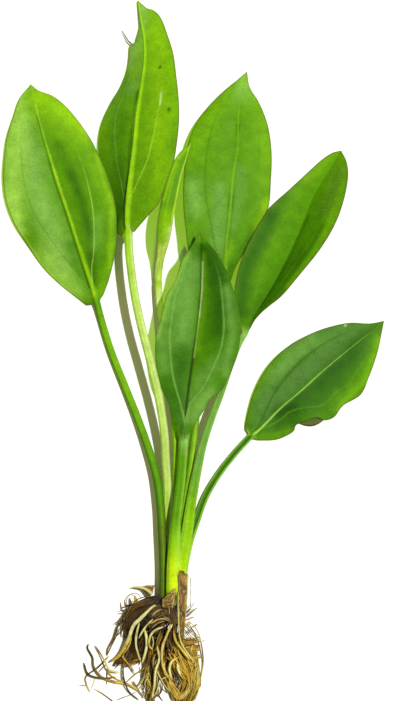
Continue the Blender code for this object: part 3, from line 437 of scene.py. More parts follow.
LEAVES["leaf_low"] = {
    "slot": "leaf_dark", "stalk_width": (3, 2.6), "rib": (0.35, 0.5), "camber": (0.06, 0.04),
    "base": "green", "rib_tint": ("gleam", 0.9, 0.4), "rim": (0.7, 0.7),
    "stalk": "8.8 6.5 3.2, 10 16.5 3.2, 12 26 3, 14.8 34.5 2.8, 18.3 44 2.6, 23.6 53 2.4, 29.8 61 2.2, "
        "34.5 66.2 2.1",
    "blade": "35.8 67.6 2.1, 40.7 71.7 2.1, 47.9 79 2, 55.9 85.8 1.9, 63.9 93.1 1.7, 71.9 99.9 1.6, "
        "79.9 106.4 1.5, 85.5 110.8 1.6, 89.5 114 2",
    "left": "34.5 68.5 2.3, 34 72.5 1.6, 35.5 79.4 2.2, 38 87 3.2, 43.5 96.5 4.6, 51.2 104 5.4, "
        "59.2 108.5 5.6, 67.2 111.5 5.2, 75.5 113.2 4.4, 84 113 3, 89.5 114 2",
    "right": "36.5 66.7 1.6, 41 66.3 0.7, 46.5 66.5 0.17, 51 68.2 0.17, 53.5 70 0.6, 54.5 72.5 1.6, "
        "58.5 74 2.8, 62.5 75.5 3, 66 74.5 1.8, 69.5 75.5 0.9, 73 80 1, 80.3 84.5 0.17, 83.5 91.5 0.4, "
        "86.8 101 0.8, 88.6 109.5 1.4, 89.5 114 2",
    "veins": {
        -1: ("0 0, 0.1 0.2, 0.2 0.36, 0.3 0.46, 0.45 0.53, 0.6 0.58, 0.8 0.6, 1 0.5", -0.12, "deep", 0.6,
            0.45, 0.9),
        1: ("0 0, 0.15 0.25, 0.3 0.42, 0.35 0.55, 0.4 0.58, 0.5 0.63, 0.6 0.62, 0.7 0.6, 0.85 0.6, 1 0.5",
            0.12, "leaf", 0.6, 0.35, 0.9),
    },
    "stalk_tint": [(0, "yellow"), (0.25, "lime"), (0.45, "green"), (1, "green")],
    "stripes": [(-0.75, 0.2, "gleam", 0.75), (0.05, 0.25, "dark", 0.7), (0.6, 0.22, "gleam", 0.7)],
    "net": (0.06, [(3, 0.2, "0.45 -0.25, 0.6 -0.3")]),
    # The grey-green strokes on the left half are painted sheen of the sky.
    "strokes": [
        ("sky_sheen", 9.0, 0.9, "0.2 -0.4, 0.5 -0.4, 0.8 -0.4"),
        ("mist_sheen", 4.0, 0.7, "0.35 -0.8, 0.6 -0.8"),
        ("sky_sheen", 3.0, 0.8, "0.25 -0.2, 0.5 -0.2, 0.7 -0.25"),
        ("leaf", 1.4, 0.7, "0.08 -0.92, 0.2 -0.95, 0.32 -0.95, 0.45 -0.97"),
        ("deep", 6.0, 0.9, "0.2 0.3, 0.45 0.3, 0.75 0.3"),
        ("dark", 2.6, 0.8, "0.22 0.12, 0.3 0.3"),
        ("dark", 2.0, 0.45, "0.35 0.12, 0.55 0.12, 0.78 0.12"),
        ("deep", 3.0, 0.7, "0.75 0.1, 0.88 0.15"),
        ("deep", 1.4, 0.5, "0.3 -0.5, 0.45 -0.52, 0.58 -0.55"),
        ("leaf", 3.2, 0.7, "0.5 0.88, 0.7 0.83, 0.9 0.75"),
        ("fresh", 1.6, 0.7, "0.5 0.97, 0.7 0.95, 0.9 0.93"),
        ("leaf", 2.0, 0.8, "0.04 0.7, 0.12 0.85, 0.2 0.9"),
        ("cream", 0.35, 0.9, "0.797 -0.9, 0.8 -0.92"),
    ],
}

# The roots: colours from the crown to the tip, radius at the crown and at the tip, and the line.
ROOTS = {
    "root_knotted": ("straw ivory ivory honey ochre", 0.85, 0.55, "-1.7 1.7 12.4, -3.5 0.3 12.8, "
        "-5.7 -1.9 12.2, -7.9 -4.2 11, -9.7 -5.9 10.4, -10.9 -8 9.4, -11.9 -11.1 8.2, -13.2 -14.4 7, "
        "-15 -17.7 5.6, -17 -20 4.8, -19.6 -21.7 4.4"),
    "root_2": ("straw ivory straw", 0.45, 0.3, "-2.5 -3.8 12.8, -4.9 -6.3 12, -6.9 -9.2 10.4, -8.3 -12 9"),
    "root_3": ("straw ivory ivory straw", 0.55, 0.35, "-8 -5.8 9, -8.8 -8.7 8, -9.4 -12 7, -9.4 -15.3 5.6, "
        "-8.7 -18.3 4.4, -7.5 -22 3.6"),
    "root_4": ("honey ivory ivory straw", 0.75, 0.4, "-6.2 -7.8 9.2, -5.4 -10.2 9.2, -5 -13.4 8.8, "
        "-5.4 -16.7 7.8, -6.2 -19.6 6.6, -7.1 -22.6 5"),
    "root_hooked": ("ivory ivory straw honey", 0.6, 0.3, "1.5 -7 12.2, -1.5 -8.2 12.4, -3.5 -10.5 11.6, "
        "-4 -14.5 10.8, -2.5 -16.5 10.4"),
    "root_6": ("honey straw honey", 0.55, 0.45, "4.5 -6 12.4, 3 -10 12.8, 1.5 -14 12.6, 1 -18 12.2, "
        "1.5 -22.5 12, 3.5 -27.5 11.4"),
    "root_7": ("ochre honey honey", 0.5, 0.4, "5.6 -7 10, 6.2 -12 11.8, 8.5 -15.5 12, 10 -17.5 12, "
        "12 -20 11.6"),
    "root_8": ("honey ivory straw", 0.55, 0.45, "7.5 -19 12.4, 5 -20.5 12.6, 4 -23.5 12.2, 5 -28.5 11.4"),
    "root_9": ("ivory ivory straw", 0.6, 0.45, "7 -21.5 11.2, 7.5 -24 11.2, 8.5 -26.5 11"),
    "root_10": ("umber umber rust", 0.35, 0.28, "-13 -4.5 4.6, -16.5 -7.5 3, -18.5 -12.5 2, -21 -17.5 1.4, "
        "-21 -19.5 1.2"),
    "root_11": ("peat umber peat", 0.3, 0.24, "-13.5 -2.5 6.6, -15.5 -5 5.4, -17.5 -6.5 5"),
    "root_12": ("honey ochre honey ochre rust umber peat peat", 0.65, 0.32, "-8.5 -33.5 2.2, -13 -31 2, "
        "-18.5 -30 1.8, -23.5 -28 1.8, -26.5 -24 1.7, -27 -20.5 1, -29 -16.5 0.9, -28.5 -15 0.9"),
    "root_13": ("rust umber peat peat", 0.4, 0.34, "-17.5 -28 3.2, -22.5 -28.5 3, -28.5 -27 2.4, "
        "-30.5 -22.5 1"),
    "root_14": ("umber peat rust honey", 0.35, 0.3, "-20.5 -20 1, -24.5 -24.2 0.5, -29.8 -28.5 0.5, "
        "-29.5 -31 0.5, -28 -34.5 0.5"),
    "root_15": ("honey straw honey rust umber", 0.45, 0.22, "-16 -26 4.4, -20 -25 4.4, -22 -21.5 3.8, "
        "-23.5 -19 2.8, -26 -15.5 1.6"),
    "root_16": ("honey umber umber", 0.28, 0.22, "-26.5 -33 0.5, -23 -35 0.5, -19 -38 0.5, -16 -40.5 0.5"),
    "root_17": ("peat umber umber peat umber", 0.34, 0.3, "-9 -8 4.6, -11.5 -13 3.4, -12.8 -18 3, "
        "-14.5 -23 2.8, -14.5 -27.5 3.8, -13.6 -31 3.6, -12 -34.5 1.4, -8.5 -37.5 0.8"),
    "root_18": ("rust umber straw", 0.42, 0.3, "-3.5 -9.5 6, -4 -14 6.4, -4.2 -19 6.4, -5.5 -24.5 5.6, "
        "-7 -29.5 4, -9 -32 3.6"),
    "root_outer": ("honey straw umber straw straw honey", 0.3, 0.24, "11.4 -5.3 6.4, 13.2 -6.9 6, "
        "15 -9.4 5.2, 16.2 -13.1 4, 17 -18.1 2.6, 17.3 -22.2 1.6, 16.6 -27.5 1, 15.6 -32.7 0.8, "
        "13.6 -37.5 0.8, 11.6 -40.7 0.8"),
    "root_20": ("rust straw ivory ivory straw", 0.55, 0.4, "0.5 -8.5 10.8, -1 -14.5 9.6, 0 -19.5 10.2, "
        "-1.5 -24.5 10, -2 -30 8.6, -3 -36 6.4"),
    "root_21": ("umber umber", 0.4, 0.3, "-11.5 -1.5 8.6, -13.5 0.5 7.4, -14 3 6.4"),
    "root_stub": ("rust ochre ochre", 0.7, 0.65, "-8.6 1.7 9.5, -9.4 3.2 9, -10 5 8.2"),
}

# The dry remains: width at each end, thickness, how far down the two edges begin, and the line.
REMAINS = {
    "old_leaf_base": (4.2, 2.2, 1.1, (0.03, 0.0), "9.4 15.5 12.6, 9.4 8 12.6, 9.2 0 12.4, 8.8 -8 11.6, "
        "8.4 -12.5 10.8"),
    "torn_sheath": (5.2, 4.4, 0.8, (0.02, 0.6), "4 9.4 13.4, 3.8 5 13.8, 3.2 0.5 13.6"),
    "dry_scale": (0.8, 4, 0.7, (0.0, 0.0), "-7.4 7.9 4.6, -5 7.6 5, -2.4 6.8 5.2"),
}

# Single hairs and ribs: colour, radius at each end and the line.
STRANDS = {}

STRANDS["tall_thread"] = ("dry_leaf", [
    ("umber", 0.35, 0.12, "-10.6 223.9 2, -11.6 224.8 2, -12.7 225.8 2, -13.5 227.2 1.8, -14.2 228.4 1.4, "
        "-15.1 230 1"),
])

STRANDS["old_base_ribs"] = ("dry_leaf", [
    ("straw", 0.2, 0.36, "7.5 7 13.3, 7.4 3.7 13.3, 7.5 -2.2 12.9, 7.8 -8.3 12, 8.5 -13.1 11.4, "
        "10.1 -16.2 11.3, 12.1 -18.9 11, 13.5 -20.7 10.4"),
    ("straw", 0.2, 0.2, "10.9 13 13.3, 11.1 9.7 13.4, 10.9 4.5 13.2, 10.4 0.9 12.8, 9.7 -2.7 12.4"),
    ("umber", 0.12, 0.1, "12.2 11.8 7, 12.4 7.8 6.5, 12.1 3.8 6, 12.3 0.5 5"),
])

STRANDS["crown_hair"] = ("root_brown", [
    ("umber", 0.14, 0.1, "-13.2 0.6 1.5, -13.3 2.6 2.5, -12.6 4.1 3.5, -11 5.5 5, -8.6 5.4 6, "
        "-7.2 3.5 7.5"),
    ("umber", 0.4, 0.1, "-8.5 0.5 8, -11 -0.8 6, -13.5 -1 4, -16 -1.5 3"),
    ("peat", 0.5, 0.3, "-9 1.5 8, -12 1 6, -13.8 0.4 5"),
])

STRANDS["scale_strips"] = ("dry_leaf", [
    ("straw", 0.2, 0.9, "-10.9 8 4.2, -8.7 8 4.6, -6.7 7.7 5, -4.7 6.8 5.4, -3.1 5.4 5.8"),
    ("umber", 0.2, 0.8, "-7.1 7.1 3.6, -5.5 5.8 4, -4.1 4.3 4.6, -3.1 2.9 5"),
])

# Many fine roots: how many, thinnest and thickest radius, how far they spread, their colours and the line.
FLOWS = {}

FLOWS["root_tangle_right"] = ("root_mat", "root_mat_right", 0.5, [
    (44, 0.18, 0.34, 1.5, "rust ochre ochre umber", "4.5 -8.1 6, 3.7 -14.8 6.4, 2.9 -20.8 6.4, 3.7 -27 5, "
        "6 -34 3, 7.6 -40.9 2"),
    (44, 0.2, 0.34, 1.5, "rust ochre ochre", "6.1 -17.4 8, 8.5 -21.4 8.4, 10.1 -24.6 7.6, 11.6 -27.2 6.4"),
    (34, 0.2, 0.34, 1.2, "rust ochre ochre", "4.5 -17.4 8, 5.7 -21.4 8.2, 7.3 -24.6 7.6, 9.3 -27.5 6.6"),
    (14, 0.2, 0.3, 1.2, "ochre honey", "2.6 -17.3 9, 6.5 -23.3 9, 10.5 -27.4 7.4, 14.4 -30.9 5"),
    (14, 0.2, 0.3, 1.2, "honey ochre", "14.8 -21.7 6, 12.1 -26.2 7.4, 9.7 -32 6, 7.2 -37.4 4"),
    (40, 0.2, 0.34, 1.3, "rust ochre umber", "3.3 -8.7 8.4, 1 -13.4 8.4, -0.7 -18.3 7.4, -1.5 -22.4 6"),
    (30, 0.2, 0.34, 1.3, "peat bark rust", "3.7 -5.8 9, 0.2 -8.6 9, -2.6 -11.8 8.4, -3.8 -16.8 7"),
    (60, 0.18, 0.34, 2.0, "rust ochre ochre honey", "6.9 -8.8 7, 8.9 -14.8 7, 9.7 -20.7 7, 11.2 -25.6 6, "
        "12.4 -30.6 4.5, 10.8 -36 3, 9.6 -41 1.4"),
    (40, 0.22, 0.38, 1.5, "ochre honey honey", "5.3 -8.6 9, 7.3 -15.7 9.6, 9.7 -21.2 9.4, 12.1 -26.2 7.6, "
        "12.8 -31.2 6, 10.8 -35.8 4, 8.8 -40.8 2.6"),
    (26, 0.22, 0.36, 0.9, "ochre honey rust", "10.5 -12.9 6, 13.2 -17.8 5, 14 -22.6 4.6, 14.8 -27.5 4, "
        "14.8 -32.4 3, 12.8 -36.9 2"),
    (12, 0.26, 0.4, 0.7, "honey straw", "13.6 -21.7 6, 14.8 -25.7 5.4, 15.2 -29.8 4.4, 14.4 -33.9 3.4, "
        "12.4 -37.2 2.6"),
    (30, 0.24, 0.4, 0.8, "honey ochre straw", "3.3 -28 6, 4.9 -32.1 5.4, 7.7 -35.7 5, 10.4 -34.1 5, "
        "12.4 -31.3 5, 12 -28.1 5.6"),
    (26, 0.22, 0.34, 1.0, "ochre honey rust", "1.3 -13.9 8, 0.6 -18.6 8.4, 0.9 -23.9 7.4, 2.9 -28.8 6, "
        "5.3 -33.8 4.4, 7.2 -39.6 3"),
    (1, 0.42, 0.42, 0, "straw", "9.7 -16.3 11, 10.9 -18.3 10.6, 12.1 -20.4 9.6"),
    (1, 0.4, 0.4, 0, "ivory", "5.2 -5.9 12, 4.2 -7.9 12, 3.4 -9.9 11.6"),
    (1, 0.3, 0.3, 0, "straw", "13 -14.7 7.6, 12.5 -16.7 7.6, 12.3 -18.7 7.2"),
    (1, 0.34, 0.34, 0, "straw", "-1 -24.9 8.6, 0.2 -27.4 8, 1.7 -30.3 7, 4.1 -33.6 5.6"),
    (1, 0.26, 0.26, 0, "ivory", "3.4 -26.8 9.6, 1.8 -27.6 9.4, 0.2 -28.5 8.6"),
    (1, 0.36, 0.36, 0, "straw", "6.5 -37 4, 8.9 -35.3 5, 10.8 -33.2 5.6, 12.4 -30.4 6"),
])

FLOWS["root_tangle_middle"] = ("root_mat", "root_mat_middle", 0.5, [
    (46, 0.16, 0.3, 1.5, "umber ochre umber honey", "-2.3 -16.2 5, -4.3 -21.9 4.4, -4.7 -27.1 3.6, "
        "-3.9 -32.4 2.6, -4.4 -37.4 1.6, -4.4 -41 1.2"),
    (22, 0.2, 0.34, 1.1, "rust ochre straw", "-0.2 -17.4 8, -1.8 -23.9 7.4, -1.5 -28.8 6, -0.7 -33 4.6, "
        "-2.3 -36.4 3"),
    (14, 0.2, 0.32, 1.2, "straw umber honey", "-3.9 -22.4 6, -5.1 -27.3 5, -4.3 -31.5 4, -5.5 -36 2.6"),
    (1, 0.36, 0.36, 0, "ivory", "-0.1 -29.1 7, -0.5 -31.5 6.4, -1.7 -34.5 5, -2.7 -35.8 4"),
    (1, 0.3, 0.3, 0, "straw", "-4.7 -27.7 5, -5.9 -30.2 4.4, -5.5 -32.3 4"),
    (1, 0.34, 0.34, 0, "rust", "-10.7 -29.7 2.6, -9.5 -31.7 2.4, -8.3 -33.7 2.2, -6.4 -36.5 1.8"),
])

FLOWS["root_rungs_right"] = ("root_mat", None, 0.2, [
    (20, 0.2, 0.34, 1.0, "ochre honey ochre rust", "8.1 -12.8 10, 10.9 -13.4 8.4, 13.6 -13.3 6, "
        "16.4 -13.6 3.4"),
    (20, 0.2, 0.34, 0.8, "ochre honey ochre rust", "8.5 -15.7 9.6, 11.7 -15.5 8, 14.4 -16.1 5.6, "
        "16.8 -16 3"),
    (16, 0.2, 0.34, 0.6, "honey ochre", "9.7 -19.3 8.8, 12.8 -20.2 6.6, 15.2 -20 4.6, 17.2 -19.3 2.6"),
    (12, 0.26, 0.36, 0.5, "honey straw", "8.5 -16.3 10.6, 10.9 -19.2 10, 12.9 -21.4 8, 14.8 -22.4 6"),
])

FLOWS["root_tuft_spiky"] = ("root_mat", "root_tuft_right", 0.15, [
    (5, 0.2, 0.3, 0.3, "honey straw", "8.9 -3 9, 9.9 -0.3 9, 10.5 2.4 8"),
    (4, 0.14, 0.22, 0.3, "ochre rust", "9.7 -2 8, 11.7 -1.3 7, 13.6 -0.8 5.6"),
    (2, 0.12, 0.16, 0.2, "umber", "10.1 -4.4 7, 12.4 -2.2 5.6, 14.4 -0.7 4.4, 16 0.3 3.2"),
    (3, 0.14, 0.2, 0.3, "ochre rust", "9.7 -2.8 8, 11.7 -0.5 7, 12.8 0.6 5.6, 13.8 2 4"),
    (4, 0.16, 0.24, 0.3, "honey ochre", "9.7 -5.9 8, 11.7 -4.4 7, 14.2 -3.9 5"),
    (5, 0.16, 0.26, 0.4, "ochre honey", "9.7 -7.9 8, 11.3 -6.4 7, 12.8 -5 5.6"),
    (3, 0.16, 0.24, 0.4, "ochre rust", "9.3 -3.8 9, 10.9 -3.1 8.4, 12.1 -2.5 7"),
    (1, 0.16, 0.16, 0, "rust", "10.5 -7.3 6, 12.4 -9.4 5, 14.4 -12 3.6"),
    (1, 0.16, 0.16, 0, "umber", "11.6 -6.5 6, 13.2 -9 5, 15.6 -12.5 3"),
    (1, 0.14, 0.14, 0, "rust", "10.1 -9.3 6, 11.6 -11.4 5, 13.2 -13.1 4.4"),
    (1, 0.16, 0.16, 0, "rust", "10.1 -11.7 6.4, 11.6 -10.1 6, 14 -9.1 4.6"),
    (2, 0.14, 0.2, 0.3, "ochre", "10.1 -10.1 6, 12 -9.4 5, 13.2 -8 4"),
    (1, 0.26, 0.26, 0, "peat", "13 -8 2, 14 -7.7 2, 15 -6.8 2"),
    (1, 0.22, 0.22, 0, "peat", "12.4 -9.9 3, 13 -9.6 3"),
    (1, 0.2, 0.2, 0, "peat", "17.2 -13.9 1, 17.9 -13.7 1"),
    (1, 0.2, 0.2, 0, "peat", "15.4 -20.6 3, 16.4 -20.3 2.4"),
])

# The peat and bark strands here are dark roots that also stand in for the shade among the roots left of the
# crown.
FLOWS["root_flow_left"] = ("root_brown", None, 0.5, [
    (50, 0.2, 0.36, 1.2, "peat peat bark", "-6.2 -3.7 7, -9 -8.9 6, -11.1 -14.7 4, -14.3 -20.6 2, "
        "-16.7 -23 1.4"),
    (44, 0.2, 0.36, 1.2, "peat bark umber", "-4.2 -6.7 8, -6.6 -12.9 6.4, -8.7 -18.7 4.4, -11.5 -22.1 2.6"),
    (26, 0.2, 0.34, 0.8, "peat peat rust", "-8.3 -17.6 3, -12.3 -20.9 2.4, -16.3 -22.2 2, -18.7 -24.2 1.6"),
    (10, 0.18, 0.3, 0.5, "ochre rust", "-5.9 -19.9 4.4, -9.5 -21.6 3.4, -12.7 -23.3 2.6, -16.3 -24.1 2"),
    (34, 0.16, 0.3, 1.3, "umber bark rust", "-7.4 -2 8, -11 -4.2 6, -13.1 -8.5 3, -14.4 -14.2 1.4"),
    (10, 0.16, 0.3, 0.8, "bark umber", "-9.4 1.6 8, -11.8 -0.6 6, -13.1 -2.8 4, -13.5 -5.4 2"),
    (22, 0.14, 0.26, 1.2, "umber ochre rust", "-3 -12.8 7, -4.2 -17.6 6.4, -5.1 -22.6 5, -5.5 -26.7 4"),
    (1, 0.42, 0.42, 0, "honey", "-11.4 -11.2 7, -11.8 -14.1 6, -13 -16.6 5, -14.7 -19.1 4"),
    (1, 0.46, 0.46, 0, "ochre", "-15.1 -19.6 3.6, -13.5 -21.6 3.4, -11.9 -23.6 3, -10.3 -25.7 2.6"),
    (1, 0.24, 0.24, 0, "umber", "-15.5 -5.6 4, -17.1 -8.9 3, -18.5 -13.4 2, -20.7 -16.6 1.6, "
        "-21.4 -19.5 1.2"),
    (1, 0.24, 0.24, 0, "umber", "-15.9 -8.5 3, -17.5 -12.1 2.4, -19.1 -15.4 2, -21.2 -19.9 1.2"),
    (1, 0.26, 0.26, 0, "peat", "-17.5 -7.2 2, -15.5 -6.1 3, -13.1 -3.6 4"),
    (1, 0.14, 0.14, 0, "umber", "-16.7 -2.8 2, -14.7 -2.5 3, -12.7 -1.8 4"),
    (1, 0.34, 0.34, 0, "peat", "-13.7 -0.9 3, -13.1 -1.4 3.6, -12.3 -2 4"),
    (1, 0.24, 0.24, 0, "umber", "-21.2 -25.9 1, -21.1 -28.7 1, -21.4 -31.5 0.5"),
    (1, 0.26, 0.26, 0, "ochre", "-5.5 -23.5 4, -7.1 -25.2 3.4, -9.5 -26.8 2.8, -11.9 -28.9 2, "
        "-13.6 -30.6 1.4"),
    (1, 0.2, 0.2, 0, "umber", "-5.1 -24.4 3, -6.7 -25.7 2.4, -8.7 -26.5 2"),
    (1, 0.2, 0.2, 0, "umber", "-11.5 -24.9 2.2, -10.5 -26.3 2, -9.6 -27.4 1.6"),
    (1, 0.24, 0.24, 0, "umber", "-15.1 -25.7 2, -14.5 -28.1 2, -13.7 -31 1.6"),
    (1, 0.2, 0.2, 0, "umber", "-17.2 -37.5 0.4, -14 -36.3 0.4, -11.6 -35.3 0.8, -9.2 -34 1.2"),
    (1, 0.2, 0.2, 0, "straw", "-26 -29.1 0.8, -26.8 -31.5 0.5, -27.6 -33.3 0.5"),
    (1, 0.3, 0.3, 0, "rust", "-21.8 -23.5 1, -23.2 -24.9 0.8, -24.4 -26.3 0.8"),
    (1, 0.34, 0.34, 0, "honey", "-21.1 -24.5 2, -20.3 -26.6 1.8, -17.9 -28.6 1.6, -15.1 -30 1.6, "
        "-13.1 -31 1.6"),
    (1, 0.3, 0.3, 0, "straw", "-13.1 -30.5 2, -10.7 -31.7 2.4, -8.3 -32.7 2.4, -6.7 -31.2 3"),
    (1, 0.2, 0.2, 0, "umber", "-32.2 -31.7 0.4, -30.4 -31.7 0.4, -28.8 -31.9 0.4"),
    (1, 0.28, 0.28, 0, "peat", "-1.2 -34.2 1.4, 0 -36.3 1, 1.2 -38.1 0.6"),
])

FLOWS["crown_fibres"] = ("root_brown", None, 0.06, [
    (16, 0.12, 0.2, 0.8, "umber rust umber bark", "-5.4 -5.4 9.4, -3.7 -1.6 11.4, -1 0.9 12.2, 2.2 1.6 12"),
    (16, 0.12, 0.2, 0.8, "umber straw rust bark", "-3.8 -7.2 10.4, -1.7 -3.5 12.2, 1 -1.5 12.8, "
        "4.2 -2.3 12.6, 6.2 -5.1 12"),
    (14, 0.12, 0.2, 0.6, "umber straw rust", "-4.9 -8.8 10.4, -2.9 -5.9 11.8, 0.2 -4.2 12.6, "
        "3.4 -4.2 12.6, 5.8 -6.7 12"),
    (12, 0.12, 0.2, 1.2, "umber bark straw", "2.6 2.8 12, 1.8 -0.7 12.8, 1.4 -4.6 12.6"),
    (10, 0.12, 0.2, 0.8, "umber bark rust", "5.4 1.3 12.6, 5.8 -2.6 12.8, 6.2 -6.6 12.4, 6.2 -10.7 11.4"),
    (34, 0.14, 0.28, 1.2, "bark umber rust bark", "-12.6 -5.4 6, -10.1 -1 9.6, -6.9 1.9 10.8, -2.6 3.5 11"),
    (44, 0.14, 0.26, 1.7, "bark umber bark rust peat", "-0.9 2.5 12.4, -4.5 0.8 12, -8.1 -1.3 10.8, "
        "-11.4 -4.3 8, -13.1 -9.2 4"),
    (14, 0.2, 0.34, 1.0, "peat bark", "6.5 -4.6 9, 5.3 -9.3 9.4, 4.9 -14.5 9"),
    (10, 0.2, 0.34, 0.8, "peat bark rust", "2.6 -10.9 9.6, 3.4 -14.9 9.4, 2.9 -18.9 9"),
    (1, 0.26, 0.26, 0, "straw", "-2.9 -2.7 12, -1.3 -0.9 12.6, 1 0.1 13"),
    (1, 0.34, 0.34, 0, "straw", "-7.7 -3.7 10.6, -4.5 -0.4 11.6, -1 1.6 12.2"),
    (1, 0.3, 0.3, 0, "straw", "-2.8 -10.8 10.8, -2.4 -13.5 10.8, -2.8 -15.9 10.6"),
    (1, 0.3, 0.3, 0, "rust", "1 -9.8 12, -0.2 -12.3 11.6, -1 -14.7 11, -2.2 -17.2 10"),
])


def unit(v):
    return v / np.maximum(np.linalg.norm(v, axis=-1, keepdims=True), 1e-12)


def light(name):
    """A colour of the palette as linear red, green and blue."""
    return np.array([(c / 255) ** 2.2 / FULL_LIGHT for c in PALETTE[name]])


def blend(a, b, share):
    return a + (b - a) * share


def bell(x):
    return np.exp(-x ** 2)


def smooth_step(x):
    x = np.clip(x, 0, 1)
    return x * x * (3 - 2 * x)


def noise_at(x, y, z):
    """Noise at each of a row of points. Any of x, y and z may be one number."""
    return np.array([noise.noise(Vector(point)) for point in np.broadcast(x, y, z)])


def points_of(text):
    return np.array([[float(number) for number in point.split()] for point in text.split(",")])


def smooth_line(text, steps=24):
    """A smooth curve through points, as many short straight steps (centripetal Catmull-Rom)."""
    p = points_of(text)
    p = np.vstack([2 * p[0] - p[1], p, 2 * p[-1] - p[-2]])
    parts = [p[1:2]]
    for a, b, c, d in zip(p, p[1:], p[2:], p[3:]):
        k1 = np.linalg.norm(b - a) ** 0.5
        k2 = k1 + np.linalg.norm(c - b) ** 0.5
        k3 = k2 + np.linalg.norm(d - c) ** 0.5
        t = np.linspace(k1, k2, steps + 1)[1:, None]
        ab = a + (b - a) * t / k1
        bc = b + (c - b) * (t - k1) / (k2 - k1)
        cd = c + (d - c) * (t - k2) / (k3 - k2)
        abc = ab + (bc - ab) * t / k2
        bcd = bc + (cd - bc) * (t - k1) / (k3 - k1)
        parts.append(abc + (bcd - abc) * (t - k1) / (k2 - k1))
    return np.vstack(parts)


def length_of(line):
    return np.linalg.norm(np.diff(line, axis=0), axis=1).sum()


def at_shares(line, shares):
    """Points of a line at any shares of its length."""
    length = np.concatenate([[0], np.cumsum(np.linalg.norm(np.diff(line, axis=0), axis=1))])
    return np.stack([np.interp(shares, length / length[-1], line[:, k]) for k in range(3)], axis=1)


def colours_at(names, shares):
    """Colours of the palette, evenly spaced from share 0 to 1, at any shares."""
    rows = np.array([light(name) for name in names])
    places = np.linspace(0, 1, len(rows))
    return np.stack([np.interp(shares, places, rows[:, k]) for k in range(3)], axis=1)


def directions(line):
    found = np.empty_like(line)
    found[1:-1] = line[2:] - line[:-2]
    found[0] = line[1] - line[0]
    found[-1] = line[-1] - line[-2]
    return unit(found)


def ring_faces(rings, sides, start=0):
    """Faces between rings of points, each ring joined to the next."""
    return [(start + r * sides + k, start + r * sides + (k + 1) % sides,
             start + (r + 1) * sides + (k + 1) % sides, start + (r + 1) * sides + k)
            for r in range(rings - 1) for k in range(sides)]


def tube_faces(rings, sides, start=0):
    """The same, with a face over each end."""
    first = tuple(start + k for k in reversed(range(sides)))
    last = tuple(start + (rings - 1) * sides + k for k in range(sides))
    return ring_faces(rings, sides, start) + [first, last]


def add_mesh(name, points, faces, smooth=True):
    mesh = bpy.data.meshes.new(name)
    mesh.from_pydata([tuple(p) for p in points], [], faces)
    mesh.update()
    if smooth:
        mesh.shade_smooth()
    thing = bpy.data.objects.new(name, mesh)
    bpy.context.scene.collection.objects.link(thing)
    return thing


def set_tint(thing, colours):
    attribute = thing.data.color_attributes.new("tint", "FLOAT_COLOR", "POINT")
    filled = np.concatenate([colours, np.ones((len(colours), 1))], axis=1)
    attribute.data.foreach_set("color", filled.astype(np.float32).ravel())


def set_value(thing, name, values):
    attribute = thing.data.attributes.new(name, "FLOAT", "POINT")
    attribute.data.foreach_set("value", np.asarray(values, np.float32).ravel())


def dress(thing, material, slot, *nodes):
    thing.data.materials.append(material)
    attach(thing, "root")
    if nodes:
        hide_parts(*nodes)


class Shading:
    """Short ways to build a node material."""

    def __init__(self, name):
        self.material = bpy.data.materials.new(name)
        self.material.use_nodes = True
        self.tree = self.material.node_tree
        self.shader = self.tree.nodes["Principled BSDF"]

    def node(self, kind, inputs=(), **settings):
        made = self.tree.nodes.new(kind)
        for key, value in settings.items():
            setattr(made, key, value)
        for key, value in dict(inputs).items():
            self.feed(made.inputs[key], value)
        return made

    def feed(self, socket, value):
        if isinstance(value, bpy.types.NodeSocket):
            self.tree.links.new(value, socket)
        else:
            socket.default_value = value

    def attribute(self, name, output="Fac"):
        return self.node("ShaderNodeAttribute", attribute_name=name).outputs[output]

    def place(self):
        return self.node("ShaderNodeTexCoord").outputs["Object"]

    def noise(self, where, scale, detail):
        inputs = {"Vector": where, "Scale": scale, "Detail": detail}
        return self.node("ShaderNodeTexNoise", inputs).outputs["Fac"]

    def math(self, operation, a, b=0.0, c=0.0):
        return self.node("ShaderNodeMath", {0: a, 1: b, 2: c}, operation=operation).outputs[0]

    def span(self, value, low, high, to_low=0.0, to_high=1.0):
        inputs = {"Value": value, "From Min": low, "From Max": high, "To Min": to_low, "To Max": to_high}
        return self.node("ShaderNodeMapRange", inputs).outputs["Result"]

    def mix(self, share, a, b, blend_type="MIX"):
        inputs = {0: share, 6: a, 7: b}
        return self.node("ShaderNodeMix", inputs, data_type="RGBA", blend_type=blend_type).outputs[2]

    def shaded(self, colour, value):
        grey = self.node("ShaderNodeCombineColor", {0: value, 1: value, 2: value}).outputs[0]
        return self.mix(1.0, colour, grey, "MULTIPLY")

    def bump(self, height, distance, strength):
        made = self.node("ShaderNodeBump", {"Height": height, "Distance": distance, "Strength": strength})
        self.feed(self.shader.inputs["Normal"], made.outputs["Normal"])

    def finish(self, colour, roughness, specular):
        self.feed(self.shader.inputs["Base Color"], colour)
        self.feed(self.shader.inputs["Roughness"], roughness)
        self.shader.inputs["Specular IOR Level"].default_value = specular
        return self.material


